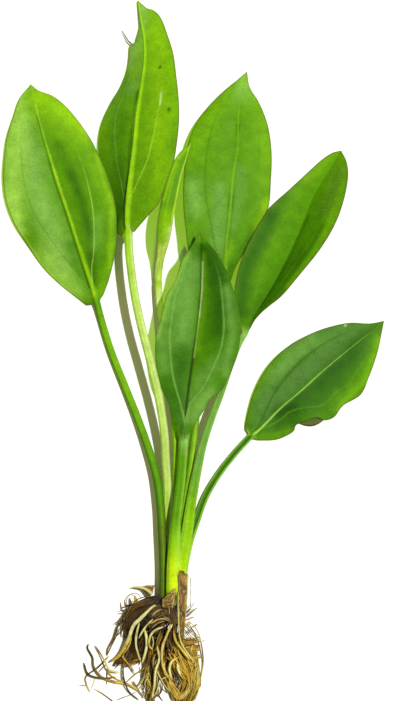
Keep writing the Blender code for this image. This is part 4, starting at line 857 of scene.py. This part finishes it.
def leaf_material(name, gloss):
    """A waxy, thin blade with fine cross veins, small cells and a mottled green. Its shadow is green too."""
    s = Shading(name)
    tint = s.attribute("tint", "Color")
    run = s.attribute("run")
    reach = s.attribute("reach")
    net = s.attribute("net")
    place = s.place()
    drift = s.noise(place, 260, 3)
    fine = s.noise(place, 1500, 4)
    cells = s.noise(place, 4200, 2)
    slant = s.math("MULTIPLY_ADD", reach, -0.42, run)
    wander = s.math("MULTIPLY_ADD", drift, 3.2, slant)
    phase = s.math("MULTIPLY", wander, 0.7)
    ladder = s.span(s.math("PINGPONG", phase, 0.5), 0.0, 0.2, 1.0, 0.0)
    ladder = s.math("MULTIPLY", ladder, s.span(s.noise(place, 420, 2), 0.38, 0.66))
    ladder = s.math("MULTIPLY", ladder, net)
    mottle = s.span(s.math("MULTIPLY_ADD", fine, 1.1, drift), 0.7, 1.4, 0.78, 1.22)
    colour = s.shaded(tint, mottle)
    lighter = s.mix(0.22, colour, (0.75, 0.9, 0.6, 1))
    colour = s.mix(ladder, colour, lighter)
    relief = s.math("MULTIPLY_ADD", fine, 0.7, s.math("MULTIPLY", ladder, 0.5))
    s.bump(s.math("MULTIPLY_ADD", cells, 0.2, relief), 0.00014, 0.7)
    s.finish(colour, s.span(fine, 0.3, 0.7, gloss - 0.07, gloss + 0.09), 0.09)
    shade = s.node("ShaderNodeLightPath").outputs["Is Shadow Ray"]
    thin = s.math("MULTIPLY", shade, s.attribute("thin"))
    through = s.node("ShaderNodeBsdfTransparent", {"Color": (*LET_THROUGH, 1)}).outputs[0]
    both = s.node("ShaderNodeMixShader", {0: thin, 1: s.shader.outputs[0], 2: through}).outputs[0]
    s.feed(s.tree.nodes["Material Output"].inputs["Surface"], both)
    return s.material


def fibre_material(name, roughness, grain=2600):
    """Roots and dry remains: fine grain in the colour and the surface."""
    s = Shading(name)
    tint = s.attribute("tint", "Color")
    place = s.place()
    patch = s.noise(place, 420, 4)
    fine = s.noise(place, grain, 4)
    colour = s.shaded(tint, s.span(s.math("MULTIPLY_ADD", fine, 0.6, patch), 0.5, 1.1, 0.62, 1.3))
    s.bump(s.math("MULTIPLY_ADD", patch, 0.6, fine), 0.00018, 0.9)
    return s.finish(colour, s.span(fine, 0.3, 0.7, roughness - 0.1, roughness + 0.1), 0.4)


def vein_line(points):
    """The share of the half blade's width at which a long vein runs, for any v."""
    line = smooth_line(points, 12)
    order = np.argsort(line[:, 0])
    return lambda v: np.interp(v, line[order, 0], line[order, 1])


class Blade:
    """The sheet of one blade, as a grid of stations along it by columns across it."""

    def __init__(self, leaf):
        share = np.linspace(0, 1, BLADE_RINGS + 1)
        crowded = (1 - END_CROWDING) * share + END_CROWDING * (1 - np.cos(math.pi * share)) / 2
        with_tip = np.append(crowded[:-1], 1.0)
        lines = (smooth_line(leaf[key]) * MM for key in ("blade", "left", "right"))
        rib, left, right = (at_shares(line, with_tip) for line in lines)
        self.v = with_tip[:-1]
        self.along = directions(rib)[:-1]
        self.tip = rib[-1]
        self.length = length_of(rib)
        self.rib, self.left, self.right = rib[:-1], left[:-1], right[:-1]
        half = np.array(HALF_COLUMNS)
        self.u = np.concatenate([-half[::-1], half[1:]])
        self.leaf = leaf
        self.fraction = np.stack([self.warped(self.u, v) for v in self.v])
        self.sheet = self.at(self.v[:, None], self.fraction)
        edges = ((-1, self.left), (1, self.right))
        self.half_width = {side: np.linalg.norm(edge - self.rib, axis=1)[:, None] for side, edge in edges}
        self.width = np.where(self.fraction < 0, self.half_width[-1], self.half_width[1])
        self.inside = (1 - np.abs(self.fraction)) * self.width

    def warped(self, u, v):
        """Columns moved so that one follows each long vein."""
        found = np.empty_like(u)
        for side in (-1, 1):
            first = float(vein_line(self.leaf["veins"][side][0])(v))
            first = min(max(first, VEIN_NEAREST), VEIN_FURTHEST)
            second = blend(first, 1, SECOND_VEIN_PLACE)
            part = u * side >= 0
            knots = (0, FIRST_VEIN, SECOND_VEIN, 1)
            found[part] = side * np.interp(np.abs(u[part]), knots, (0, first, second, 1))
        return found

    def at(self, v, f):
        """Points of the sheet at v, f, without thickness."""
        v, f = np.broadcast_arrays(np.asarray(v, float), np.asarray(f, float))

        def curve(line):
            return np.stack([np.interp(v, self.v, line[:, k]) for k in range(3)], axis=-1)

        rib, left, right, along = curve(self.rib), curve(self.left), curve(self.right), curve(self.along)
        on_left = (f < 0)[..., None]
        edge = np.where(on_left, left, right)
        across = np.where(on_left, rib - edge, edge - rib)
        up = unit(np.cross(across, along))
        width = np.linalg.norm(across, axis=-1, keepdims=True)
        camber = np.where(on_left, self.leaf["camber"][0], self.leaf["camber"][1])
        share = np.abs(f)[..., None]
        return rib + (edge - rib) * share + up * camber * width * 4 * share * (1 - share)

    def near(self, places, width):
        """How near each point of the sheet is to a line through places, from 0 to 1."""
        line = self.at(*points_of(places).T)
        return bell(distance_to_line(self.sheet, line) / (width * MM))


def distance_to_line(points, line):
    best = np.full(points.shape[:-1], 1e9)
    for a, b in zip(line, line[1:]):
        d = b - a
        t = np.clip(((points - a) @ d) / max(d @ d, 1e-18), 0, 1)
        best = np.minimum(best, np.linalg.norm(points - a - t[..., None] * d, axis=-1))
    return best


def blade_net(leaf, blade):
    """How strongly the cross veins show at each point of the blade."""
    net = np.full(blade.sheet.shape[:2], leaf["net"][0])
    for width, strength, places in leaf["net"][1]:
        net = np.maximum(net, strength * blade.near(places, width))
    return net


def blade_tints(leaf, blade, rib_half_width):
    tints = np.ones(blade.sheet.shape) * light(leaf["base"])

    def lay(weight, name):
        weight = np.clip(weight, 0, 1)[..., None]
        tints[:] = tints * (1 - weight) + light(name) * weight

    for name, width, strength, places in leaf["strokes"]:
        lay(strength * blade.near(places, width), name)
    for side in (-1, 1):
        points, _, name, strength, width, last = leaf["veins"][side]
        here = vein_line(points)(blade.v)[:, None]
        away = np.abs(blade.fraction - side * here) * blade.half_width[side]
        fade = smooth_step((last - blade.v) / 0.3)[:, None] * smooth_step(blade.v / VEIN_START)[:, None]
        lay(strength * fade * bell(away / (width * MM)), name)
    name, strength, share = leaf["rib_tint"]
    away = np.linalg.norm(blade.sheet - blade.rib[:, None], axis=-1)
    lay(strength * np.exp(-(away / (share * rib_half_width[:, None])) ** 4), name)
    # A brown rim along the margin: partly dry edge, partly painted edge shade.
    rim = np.where(blade.fraction < 0, leaf["rim"][0], leaf["rim"][1])
    lay(rim * bell(blade.inside / (RIM_WIDTH * MM)), "umber")
    return tints


def blade_rings(leaf, blade):
    """Upper and lower points of each ring of the blade, and their tints."""
    rib_size = blend(1, RIB_TIP_SHARE, blade.v)
    half_width = leaf["stalk_width"][1] / 2 * MM * rib_size
    sheet = blade.sheet
    normal = unit(np.cross(np.gradient(sheet, axis=1), np.gradient(sheet, axis=0)))
    half = blend(EDGE_THICKNESS, BLADE_THICKNESS, smooth_step(blade.inside / (EDGE_TAPER * MM))) / 2 * MM
    half *= np.sqrt(1 - (1 - np.clip(blade.inside / (EDGE_ROUND * MM), 0.04, 1)) ** 2)
    away = np.abs(blade.fraction) * blade.width / half_width[:, None]
    ridge = np.clip(1 - away ** 2, 0, 1) ** 1.3
    join = smooth_step(blade.v / RIB_JOIN)
    stalk_half = leaf["stalk_width"][1] * STALK_DEPTH / 2
    over, under = (ridge * (blend(stalk_half, rib * rib_size, join) * MM)[:, None] for rib in leaf["rib"])
    lift = np.zeros(sheet.shape[:2])
    for side in (-1, 1):
        points, height, _, _, size, _ = leaf["veins"][side]
        here = side * vein_line(points)(blade.v)[:, None]
        fade = (smooth_step((0.95 - blade.v) / 0.5) * smooth_step(blade.v / VEIN_START))[:, None]
        lift += height * MM * fade * bell((blade.fraction - here) * blade.width / (size * MM))
    flutter = np.array([[noise.noise(Vector(p) * 90) for p in row] for row in sheet])
    flutter *= smooth_step(np.abs(blade.fraction) * 1.2) * smooth_step(blade.v / 0.1)[:, None]
    lift += flutter * FLUTTER * MM
    upper = sheet + normal * (half + over + lift)[..., None]
    lower = sheet - normal * (half + under - lift)[..., None]
    return upper, lower, blade_tints(leaf, blade, half_width)


def oval_ring(middle, along, width, columns, extra=(0, 0)):
    """Points over a stalk from left to right, and the points under it in the same order."""
    across = unit(np.cross(along, UP))
    above = np.cross(across, along)
    turn = np.linspace(170, 10, columns) * math.pi / 180
    ribs = 1 + STALK_RIB_DEPTH * np.cos(STALK_RIBS * turn)
    channel = 1 - STALK_CHANNEL * bell((turn - math.pi / 2) / 0.35)
    half = width / 2 + np.where(np.cos(turn) < 0, extra[0], extra[1])
    out = across * (np.cos(turn) * ribs * half)[:, None]
    rise = above * (np.sin(turn) * ribs)[:, None] * width * STALK_DEPTH / 2
    return middle + out + rise * channel[:, None], middle + out - rise


def stalk_tints(leaf, share, columns):
    places, names = zip(*leaf["stalk_tint"])
    colours = np.array([light(name) for name in names])
    tint = np.array([np.interp(share, places, colours[:, k]) for k in range(3)])
    tint = blend(light("umber"), tint, float(smooth_step(share / FOOT_SHARE)))
    row = np.tile(tint, (columns, 1))
    side = np.linspace(-1, 1, columns)
    # Stripes along the stalk: partly its own striping and partly painted light; the dark stripes by the left
    # edge are painted shade on the side turned from the sun, and the pale stripes are painted highlights.
    for centre, width, name, strength in leaf["stripes"]:
        weight = (strength * bell((side - centre) / width))[:, None]
        row = row * (1 - weight) + light(name) * weight
    return row


def stalk_part(leaf, columns):
    """The heel that runs into the crown, and the stalk, as rings of upper points, lower points, tints,
    distance along the leaf, distance from the rib, strength of the net and thinness. Then the heel's end."""
    low, high = (w * MM for w in leaf["stalk_width"])
    stalk = smooth_line(leaf["stalk"] + "," + leaf["blade"].split(",")[0]) * MM
    foot = stalk[0] - unit(stalk[1] - stalk[0]) * FOOT_DEPTH * MM
    shares = np.linspace(0, 1, STALK_RINGS + 1)
    stalk = at_shares(np.vstack([foot, stalk]), shares)
    heading = directions(stalk)
    length = length_of(stalk) / MM
    left_foot, right_foot, foot_end = leaf.get("foot", (0, 0, 1))
    bend = foot - heading[0] * HEEL_BEND * MM
    heel = blend(foot, np.array(CROWN_CENTRE) * MM, HEEL_SHARE)
    steps = np.linspace(0, 1, HEEL_RINGS + 1)[:, None]
    inner = blend(blend(heel, bend, steps), blend(bend, foot, steps), steps)
    inward = directions(inner)
    none = np.zeros(columns)
    rings = []
    for step, middle, along in zip(steps[:-1, 0], inner, inward):
        extra = (left_foot * step * MM, right_foot * step * MM)
        ring = oval_ring(middle, along, low * blend(HEEL_WIDTH, 1, step), columns, extra)
        run = none + (step - 1) * HEEL_BEND - length
        rings.append((*ring, stalk_tints(leaf, 0, columns), run, none, none, none))
    for share, middle, along in zip(shares[:-1], stalk, heading):
        wide = max(1 - share / foot_end, 0)
        extra = (left_foot * wide * MM, right_foot * wide * MM)
        ring = oval_ring(middle, along, blend(low, high, share), columns, extra)
        thin = none + (FOOT_THIN * wide if "foot" in leaf else 0)
        run = none + (share - 1) * length
        rings.append((*ring, stalk_tints(leaf, share, columns), run, none, none, thin))
    return rings, inner[0] - inward[0] * HEEL_END * MM


def blade_part(leaf, blade, columns):
    """The blade, as rings of the same seven things."""
    upper, lower, tints = blade_rings(leaf, blade)
    net = blade_net(leaf, blade)
    end_tint = stalk_tints(leaf, 1.0, columns)
    rings = []
    for i, v in enumerate(blade.v):
        width = leaf["stalk_width"][1] * MM * blend(1, RIB_TIP_SHARE, v)
        over, under = oval_ring(blade.rib[i], blade.along[i], width, columns)
        weight = float(smooth_step(v / STALK_JOIN))
        tint = blend(end_tint, tints[i], float(smooth_step(v / (STALK_JOIN * 1.6))))
        run = np.full(columns, v * blade.length / MM)
        reach = np.linalg.norm(blade.sheet[i] - blade.rib[i], axis=1) / MM
        begun = float(smooth_step((v - 0.04) / 0.08))
        off_rib = begun * smooth_step((np.abs(blade.fraction[i]) - 0.04) / 0.08)
        thin = smooth_step(reach / 2.0) * float(smooth_step(v / 0.08))
        rings.append((blend(over, upper[i], weight), blend(under, lower[i], weight), tint,
                      run, reach, net[i] * off_rib, thin))
    return rings


def make_leaf(name, leaf, material):
    blade = Blade(leaf)
    rings, heel_end = stalk_part(leaf, len(blade.u))
    rings += blade_part(leaf, blade, len(blade.u))
    over, under, tints, *values = (np.array(part) for part in zip(*rings))
    over[..., 2] = np.maximum(over[..., 2], EDGE_THICKNESS * MM)
    under[..., 2] = np.maximum(under[..., 2], 0)
    points = np.concatenate([over, under[:, ::-1]], axis=1)
    # The underside's colour is painted a little darker, as painted shade.
    tints = np.concatenate([tints, tints[:, ::-1] * UNDERSIDE_PAINTED_SHADE], axis=1)
    count = points.shape[1]
    last = len(rings) * count
    faces = ring_faces(len(rings), count)
    faces += [(last - count + k, last - count + (k + 1) % count, last) for k in range(count)]
    faces += [(k + 1, k, last + 1) for k in range(count - 1)] + [(0, count - 1, last + 1)]
    thing = add_mesh(name + "_look", np.vstack([points.reshape(-1, 3), blade.tip, heel_end]), faces)
    set_tint(thing, np.vstack([tints.reshape(-1, 3), tints[-1, :1], tints[0, :1]]))
    ends = {"run": (blade.length / MM, 0), "reach": (0, 0), "net": (0, 0), "thin": (1, 0)}
    for key, value in zip(ends, values):
        around = np.concatenate([value, value[:, ::-1]], axis=1)
        set_value(thing, key, np.concatenate([around.ravel(), ends[key]]))
    dress(thing, material, leaf["slot"], name)


class Tubes:
    """Round, uneven strands gathered into one mesh."""

    def __init__(self):
        self.points, self.faces, self.tints = [], [], []

    def strand(self, line, radii, tints, sides, uneven):
        heading = directions(line)
        across = unit(np.cross(heading[0], UP + 0.01))
        self.faces += tube_faces(len(line), sides, len(self.points))
        for i, (middle, along) in enumerate(zip(line, heading)):
            across = unit(across - along * (across @ along))
            other = np.cross(along, across)
            for k in range(sides):
                angle = 2 * math.pi * k / sides
                out = across * math.cos(angle) + other * math.sin(angle)
                bump = 1 + uneven * noise.noise(Vector(middle * 900 + out * 0.8))
                place = middle + out * radii[i] * bump
                place[2] = max(place[2], 0.0)
                self.points.append(place)
                # Painted shade: each strand is a little lighter on top and darker underneath.
                self.tints.append(tints[i] * (0.9 + 0.1 * out[2]))

    def make(self, name, material, slot, *nodes):
        thing = add_mesh(name, self.points, self.faces)
        set_tint(thing, np.array(self.tints))
        dress(thing, material, slot, *nodes)


def make_root(name, names, radius, end_radius, points, material):
    line = smooth_line(points) * MM
    shares = np.linspace(0, 1, max(int(length_of(line) / MM / ROOT_STEP), 8))
    line = at_shares(line, shares)
    neck = blend(ROOT_NECK, 1, smooth_step(shares / ROOT_NECK_SHARE))
    radii = blend(radius, end_radius, shares) * neck * MM
    knots = np.array([max(noise.noise(Vector(p * 260)) - 0.1, 0) for p in line])
    radii = radii * (1 + ROOT_KNOTS * knots)
    radii[:3] *= (0.45, 0.75, 0.9)
    radii[-3:] *= (0.85, 0.6, 0.3)
    line[:, 2] = np.maximum(line[:, 2], radii + 0.05 * MM)
    tints = []
    for main, p in zip(colours_at(names.split(), shares), line):
        spot = smooth_step((noise.noise(Vector(p * 330)) - 0.15) * 3) * 0.5
        tints.append(blend(main, light("rust"), spot))
    tubes = Tubes()
    tubes.strand(line, radii, tints, 10, 0.12)
    slot = "root_ochre" if name in OCHRE_ROOTS else "root_brown" if name in BROWN_ROOTS else "root_cream"
    tubes.make(name + "_look", material, slot, name)


def make_flow(name, slot, node, depth, guides, material):
    """Many fine roots along each guide. Some lie lower, by up to the share depth, and are painted darker
    there, as painted shade beneath the others.
    """
    rng = random.Random(name)
    tubes = Tubes()
    for count, thin, thick, spread, names, points in guides:
        guide = smooth_line(points) * MM
        length = length_of(guide)
        for _ in range(count):
            level, first, last = 1.0, 0.0, 1.0
            if count > 1:
                level, first, last = rng.random(), rng.uniform(0, 0.4), rng.uniform(0.6, 1)
            shares = np.linspace(first, last, max(int(length * (last - first) / (FLOW_STEP * MM)), 6))
            line = at_shares(guide, shares)
            side = unit(np.cross(directions(line), UP))
            wave = np.sin(rng.uniform(0, 6.3) + rng.uniform(3, 12) * shares)
            away = (rng.gauss(0, 0.7) + wave * rng.uniform(0.2, 0.8)) * spread * MM
            line = line + side * away[:, None]
            radii = rng.uniform(thin, thick) * MM * blend(1, 0.6, shares)
            radii[:2] *= (0.5, 0.8)
            radii[-2:] *= (0.8, 0.45)
            line[:, 2] = np.maximum(line[:, 2] * blend(1 - depth, 1, level), radii)
            # Painted shade: strands that lie lower are made darker.
            tint = light(rng.choice(names.split())) * blend(1 - 1.2 * depth, 1, level)
            tints = [blend(tint, light("rust"), 0.4 * share ** 3) for share in shares]
            tubes.strand(line, radii, tints, 5, 0.2)
    tubes.make(name, material, slot, *([node] if node else []))


def make_strands(name, slot, strands, material):
    """Single hairs and ribs, each through its own points."""
    tubes = Tubes()
    for tint, radius, end_radius, points in strands:
        line = smooth_line(points) * MM
        shares = np.linspace(0, 1, max(int(length_of(line) / MM / HAIR_STEP), 6))
        line = at_shares(line, shares)
        radii = blend(radius, end_radius, shares) * MM
        line[:, 2] = np.maximum(line[:, 2], radii)
        tubes.strand(line, radii, [light(tint)] * len(line), 6, 0.25)
    tubes.make(name, material, slot)


def make_crown(material):
    """The crown's knobbly body."""
    rows, sides = CROWN_ROWS, CROWN_SIDES
    places = []
    for tilt in np.arange(1, rows) * math.pi / rows:
        for turn in np.arange(sides) * 2 * math.pi / sides:
            places.append((math.sin(tilt) * math.cos(turn), math.sin(tilt) * math.sin(turn), math.cos(tilt)))
    points = [crown_point(Vector(place)) for place in places + [(0, 0, 1), (0, 0, -1)]]
    tints = [crown_tint(Vector(place)) for place in places] + [light("bark"), light("bark")]
    faces = [(a, d, c, b) for a, b, c, d in ring_faces(rows - 1, sides)]
    top, bottom = len(points) - 2, len(points) - 1
    for k in range(sides):
        j = (k + 1) % sides
        faces.append((top, k, j))
        faces.append((bottom, (rows - 2) * sides + j, (rows - 2) * sides + k))
    thing = add_mesh("crown_look", points, faces)
    set_tint(thing, np.array(tints))
    dress(thing, material, "crown", "crown")


def crown_point(around):
    lump = CROWN_LUMP * noise.noise(around * 2.3) * (0.5 + 0.5 * around.z)
    rough = 0.5 * noise.noise(around * 7) + 0.3 * noise.noise(around * 15)
    rough -= 0.5 * abs(noise.noise(around * 4.5))
    rough *= CROWN_ROUGHNESS
    x = around.x * (CROWN_RADII[0] + lump + rough)
    y = around.y * (CROWN_RADII[1] + lump + rough)
    turned_x = x * math.cos(CROWN_TURN) - y * math.sin(CROWN_TURN)
    turned_y = x * math.sin(CROWN_TURN) + y * math.cos(CROWN_TURN)
    height = CROWN_CENTRE[2] + around.z * (CROWN_RADII[2] + lump + min(rough, 0))
    return Vector((CROWN_CENTRE[0] + turned_x, CROWN_CENTRE[1] + turned_y, max(height, 0))) * MM


def crown_tint(around):
    share = float(smooth_step(0.5 + 1.6 * noise.noise(around * 5)))
    return blend(light("peat") * 0.5, light("bark") * 0.8, share)


def make_strip(name, material, upper, lower, tints, *nodes):
    """A thin dry strip from its rows of upper points, lower points and tints."""
    rows = [np.vstack([over, under[::-1]]) for over, under in zip(upper, lower)]
    # The underside's colour is painted darker, as painted shade.
    colours = [np.vstack([tint, tint[::-1] * STRIP_UNDERSIDE_PAINTED_SHADE]) for tint in tints]
    thing = add_mesh(name, np.vstack(rows), tube_faces(len(rows), len(rows[0])))
    set_tint(thing, np.vstack(colours))
    dress(thing, material, "dry_leaf", *nodes)


def make_remains(name, width_low, width_high, thickness, starts, points, material):
    """A dry, ragged strip of leaf base. Starts says how far down its right and left edges begin."""
    line = at_shares(smooth_line(points) * MM, np.linspace(0, 1, REMAINS_ROWS))
    side = np.linspace(-1, 1, REMAINS_COLUMNS)
    torn = noise_at(side * 4.5, 7.0, len(name))
    begins = np.clip(blend(*starts, (side + 1) / 2) + 0.035 + 0.1 * torn, 0, 0.9)
    ends = 1 - np.clip(0.04 + 0.12 * torn[::-1], 0, 0.3)
    upper, lower, tints = [], [], []
    for i, along in enumerate(directions(line)):
        share = i / (REMAINS_ROWS - 1)
        middle = at_shares(line, blend(begins, ends, share))
        width = blend(width_low, width_high, share) * MM
        across = unit(np.cross(along, UP))
        above = np.cross(across, along)
        sag = (side ** 2 - 0.5) * -REMAINS_SAG * width
        rough = noise_at(share * 9, side * 2.2, len(name)) * REMAINS_ROUGHNESS * MM
        ribs = REMAINS_RIBS * MM * bell((np.abs(side) - 0.85) / 0.12)
        mid = middle + across * (side * width / 2)[:, None] + above * sag[:, None]
        upper.append(mid + above * (thickness / 2 * MM + rough + ribs)[:, None])
        lower.append(mid - above * (thickness / 2 * MM - rough * 0.5)[:, None])
        mottle, specks, stain = (noise_at(share * down, side * over, 3.0)
                                 for down, over in ((7, 3), (22, 6), (5, 1.5)))
        colour = blend(light("bark"), light("rust"), smooth_step(0.5 + 1.6 * mottle)[:, None])
        colour = blend(colour, light("ochre"), smooth_step(3 * (stain - 0.05))[:, None] * 0.7)
        colour = blend(colour, light("straw"), smooth_step(4 * (specks - 0.3))[:, None] * 0.8)
        pale = bell((np.abs(side) - 0.85) / 0.14) * smooth_step(0.6 + 2 * specks)
        tints.append(blend(colour, light("straw"), pale[:, None] * 0.6))
    make_strip(name + "_look", material, upper, lower, tints, name)


def make_curl_and_shadow(material):
    """The browned edge of the low leaf, rolled under the arch of its margin; the brown strip also stands in
    for the shadow beneath the raised arch.
    """
    line = at_shares(smooth_line(CURL) * MM, np.linspace(0, 1, CURL_ROWS))
    side = np.linspace(-1, 1, CURL_COLUMNS)
    half = UP * CURL_THICKNESS / 2 * MM
    upper, lower, tints = [], [], []
    for i, along in enumerate(directions(line)):
        swell = np.sin(np.pi * (i + 0.5) / CURL_ROWS) ** 0.8
        middle = line[i] + unit(np.cross(along, UP)) * (side * CURL_WIDTH / 2 * MM * swell)[:, None]
        middle[:, 2] += (-side * swell) * CURL_RISE * MM
        upper.append(middle + half)
        lower.append(middle - half)
        streaks = smooth_step(0.5 + noise_at(i * 0.12, side * 5, 9.0))
        colour = blend(light("olive") * 1.1, light("umber"), streaks[:, None] * 0.35)
        # Darker towards its far edge, as painted shade under the arch.
        tints.append(blend(colour, light("bark"), smooth_step((side - 0.55) * 3)[:, None]))
    make_strip("leaf_low_curl_and_shadow", material, upper, lower, tints)


def make_floor():
    half = FLOOR_SIZE / 2
    points = [(x, y, FLOOR_HEIGHT) for x, y in ((-half, -half), (half, -half), (half, half), (-half, half))]
    floor = add_mesh("floor", points, [(0, 1, 2, 3)], False)
    floor.data.materials.append(Shading("paper").finish((*FLOOR_COLOUR, 1), 0.9, 0.1))


def set_light_and_camera():
    scene = bpy.context.scene
    scene.view_settings.view_transform = "Standard"
    world = bpy.data.worlds.new("studio")
    scene.world = world
    world.use_nodes = True
    sky = world.node_tree.nodes["Background"]
    sky.inputs["Color"].default_value = (*SKY_COLOUR, 1)
    sky.inputs["Strength"].default_value = SKY_STRENGTH
    sun = bpy.data.lights.new("sun", "SUN")
    sun.energy = SUN_STRENGTH
    sun.angle = math.radians(SUN_ANGLE)
    lamp = bpy.data.objects.new("sun", sun)
    lamp.rotation_euler = Vector(SUN_FROM).to_track_quat("Z", "Y").to_euler()
    scene.collection.objects.link(lamp)
    lens = bpy.data.cameras.new("camera")
    lens.lens = CAMERA_LENS
    lens.sensor_width = 36
    lens.clip_start = 0.01
    camera = bpy.data.objects.new("camera", lens)
    camera.location = CAMERA_PLACE
    scene.collection.objects.link(camera)
    scene.camera = camera


def main():
    set_light_and_camera()
    make_floor()
    blades = {
        "leaf_green": leaf_material("blade_green", 0.62),
        "leaf_young": leaf_material("blade_young", 0.64),
        "leaf_dark": leaf_material("blade_dark", 0.62),
    }
    for name, leaf in LEAVES.items():
        make_leaf(name, leaf, blades[leaf["slot"]])
    root_skin = fibre_material("root_skin", 0.5)
    mat_skin = fibre_material("mat_skin", 0.6)
    bark = fibre_material("crown_bark", 0.62, 1800)
    dry = fibre_material("dry_leaf", 0.6, 2200)
    for name, root in ROOTS.items():
        make_root(name, *root, root_skin)
    skins = {"root_mat": mat_skin, "root_brown": root_skin}
    for name, flow in FLOWS.items():
        make_flow(name, *flow, skins[flow[0]])
    for name, strands in STRANDS.items():
        make_strands(name, *strands, root_skin)
    make_crown(bark)
    for name, sizes in REMAINS.items():
        make_remains(name, *sizes, dry)
    make_curl_and_shadow(dry)


main()
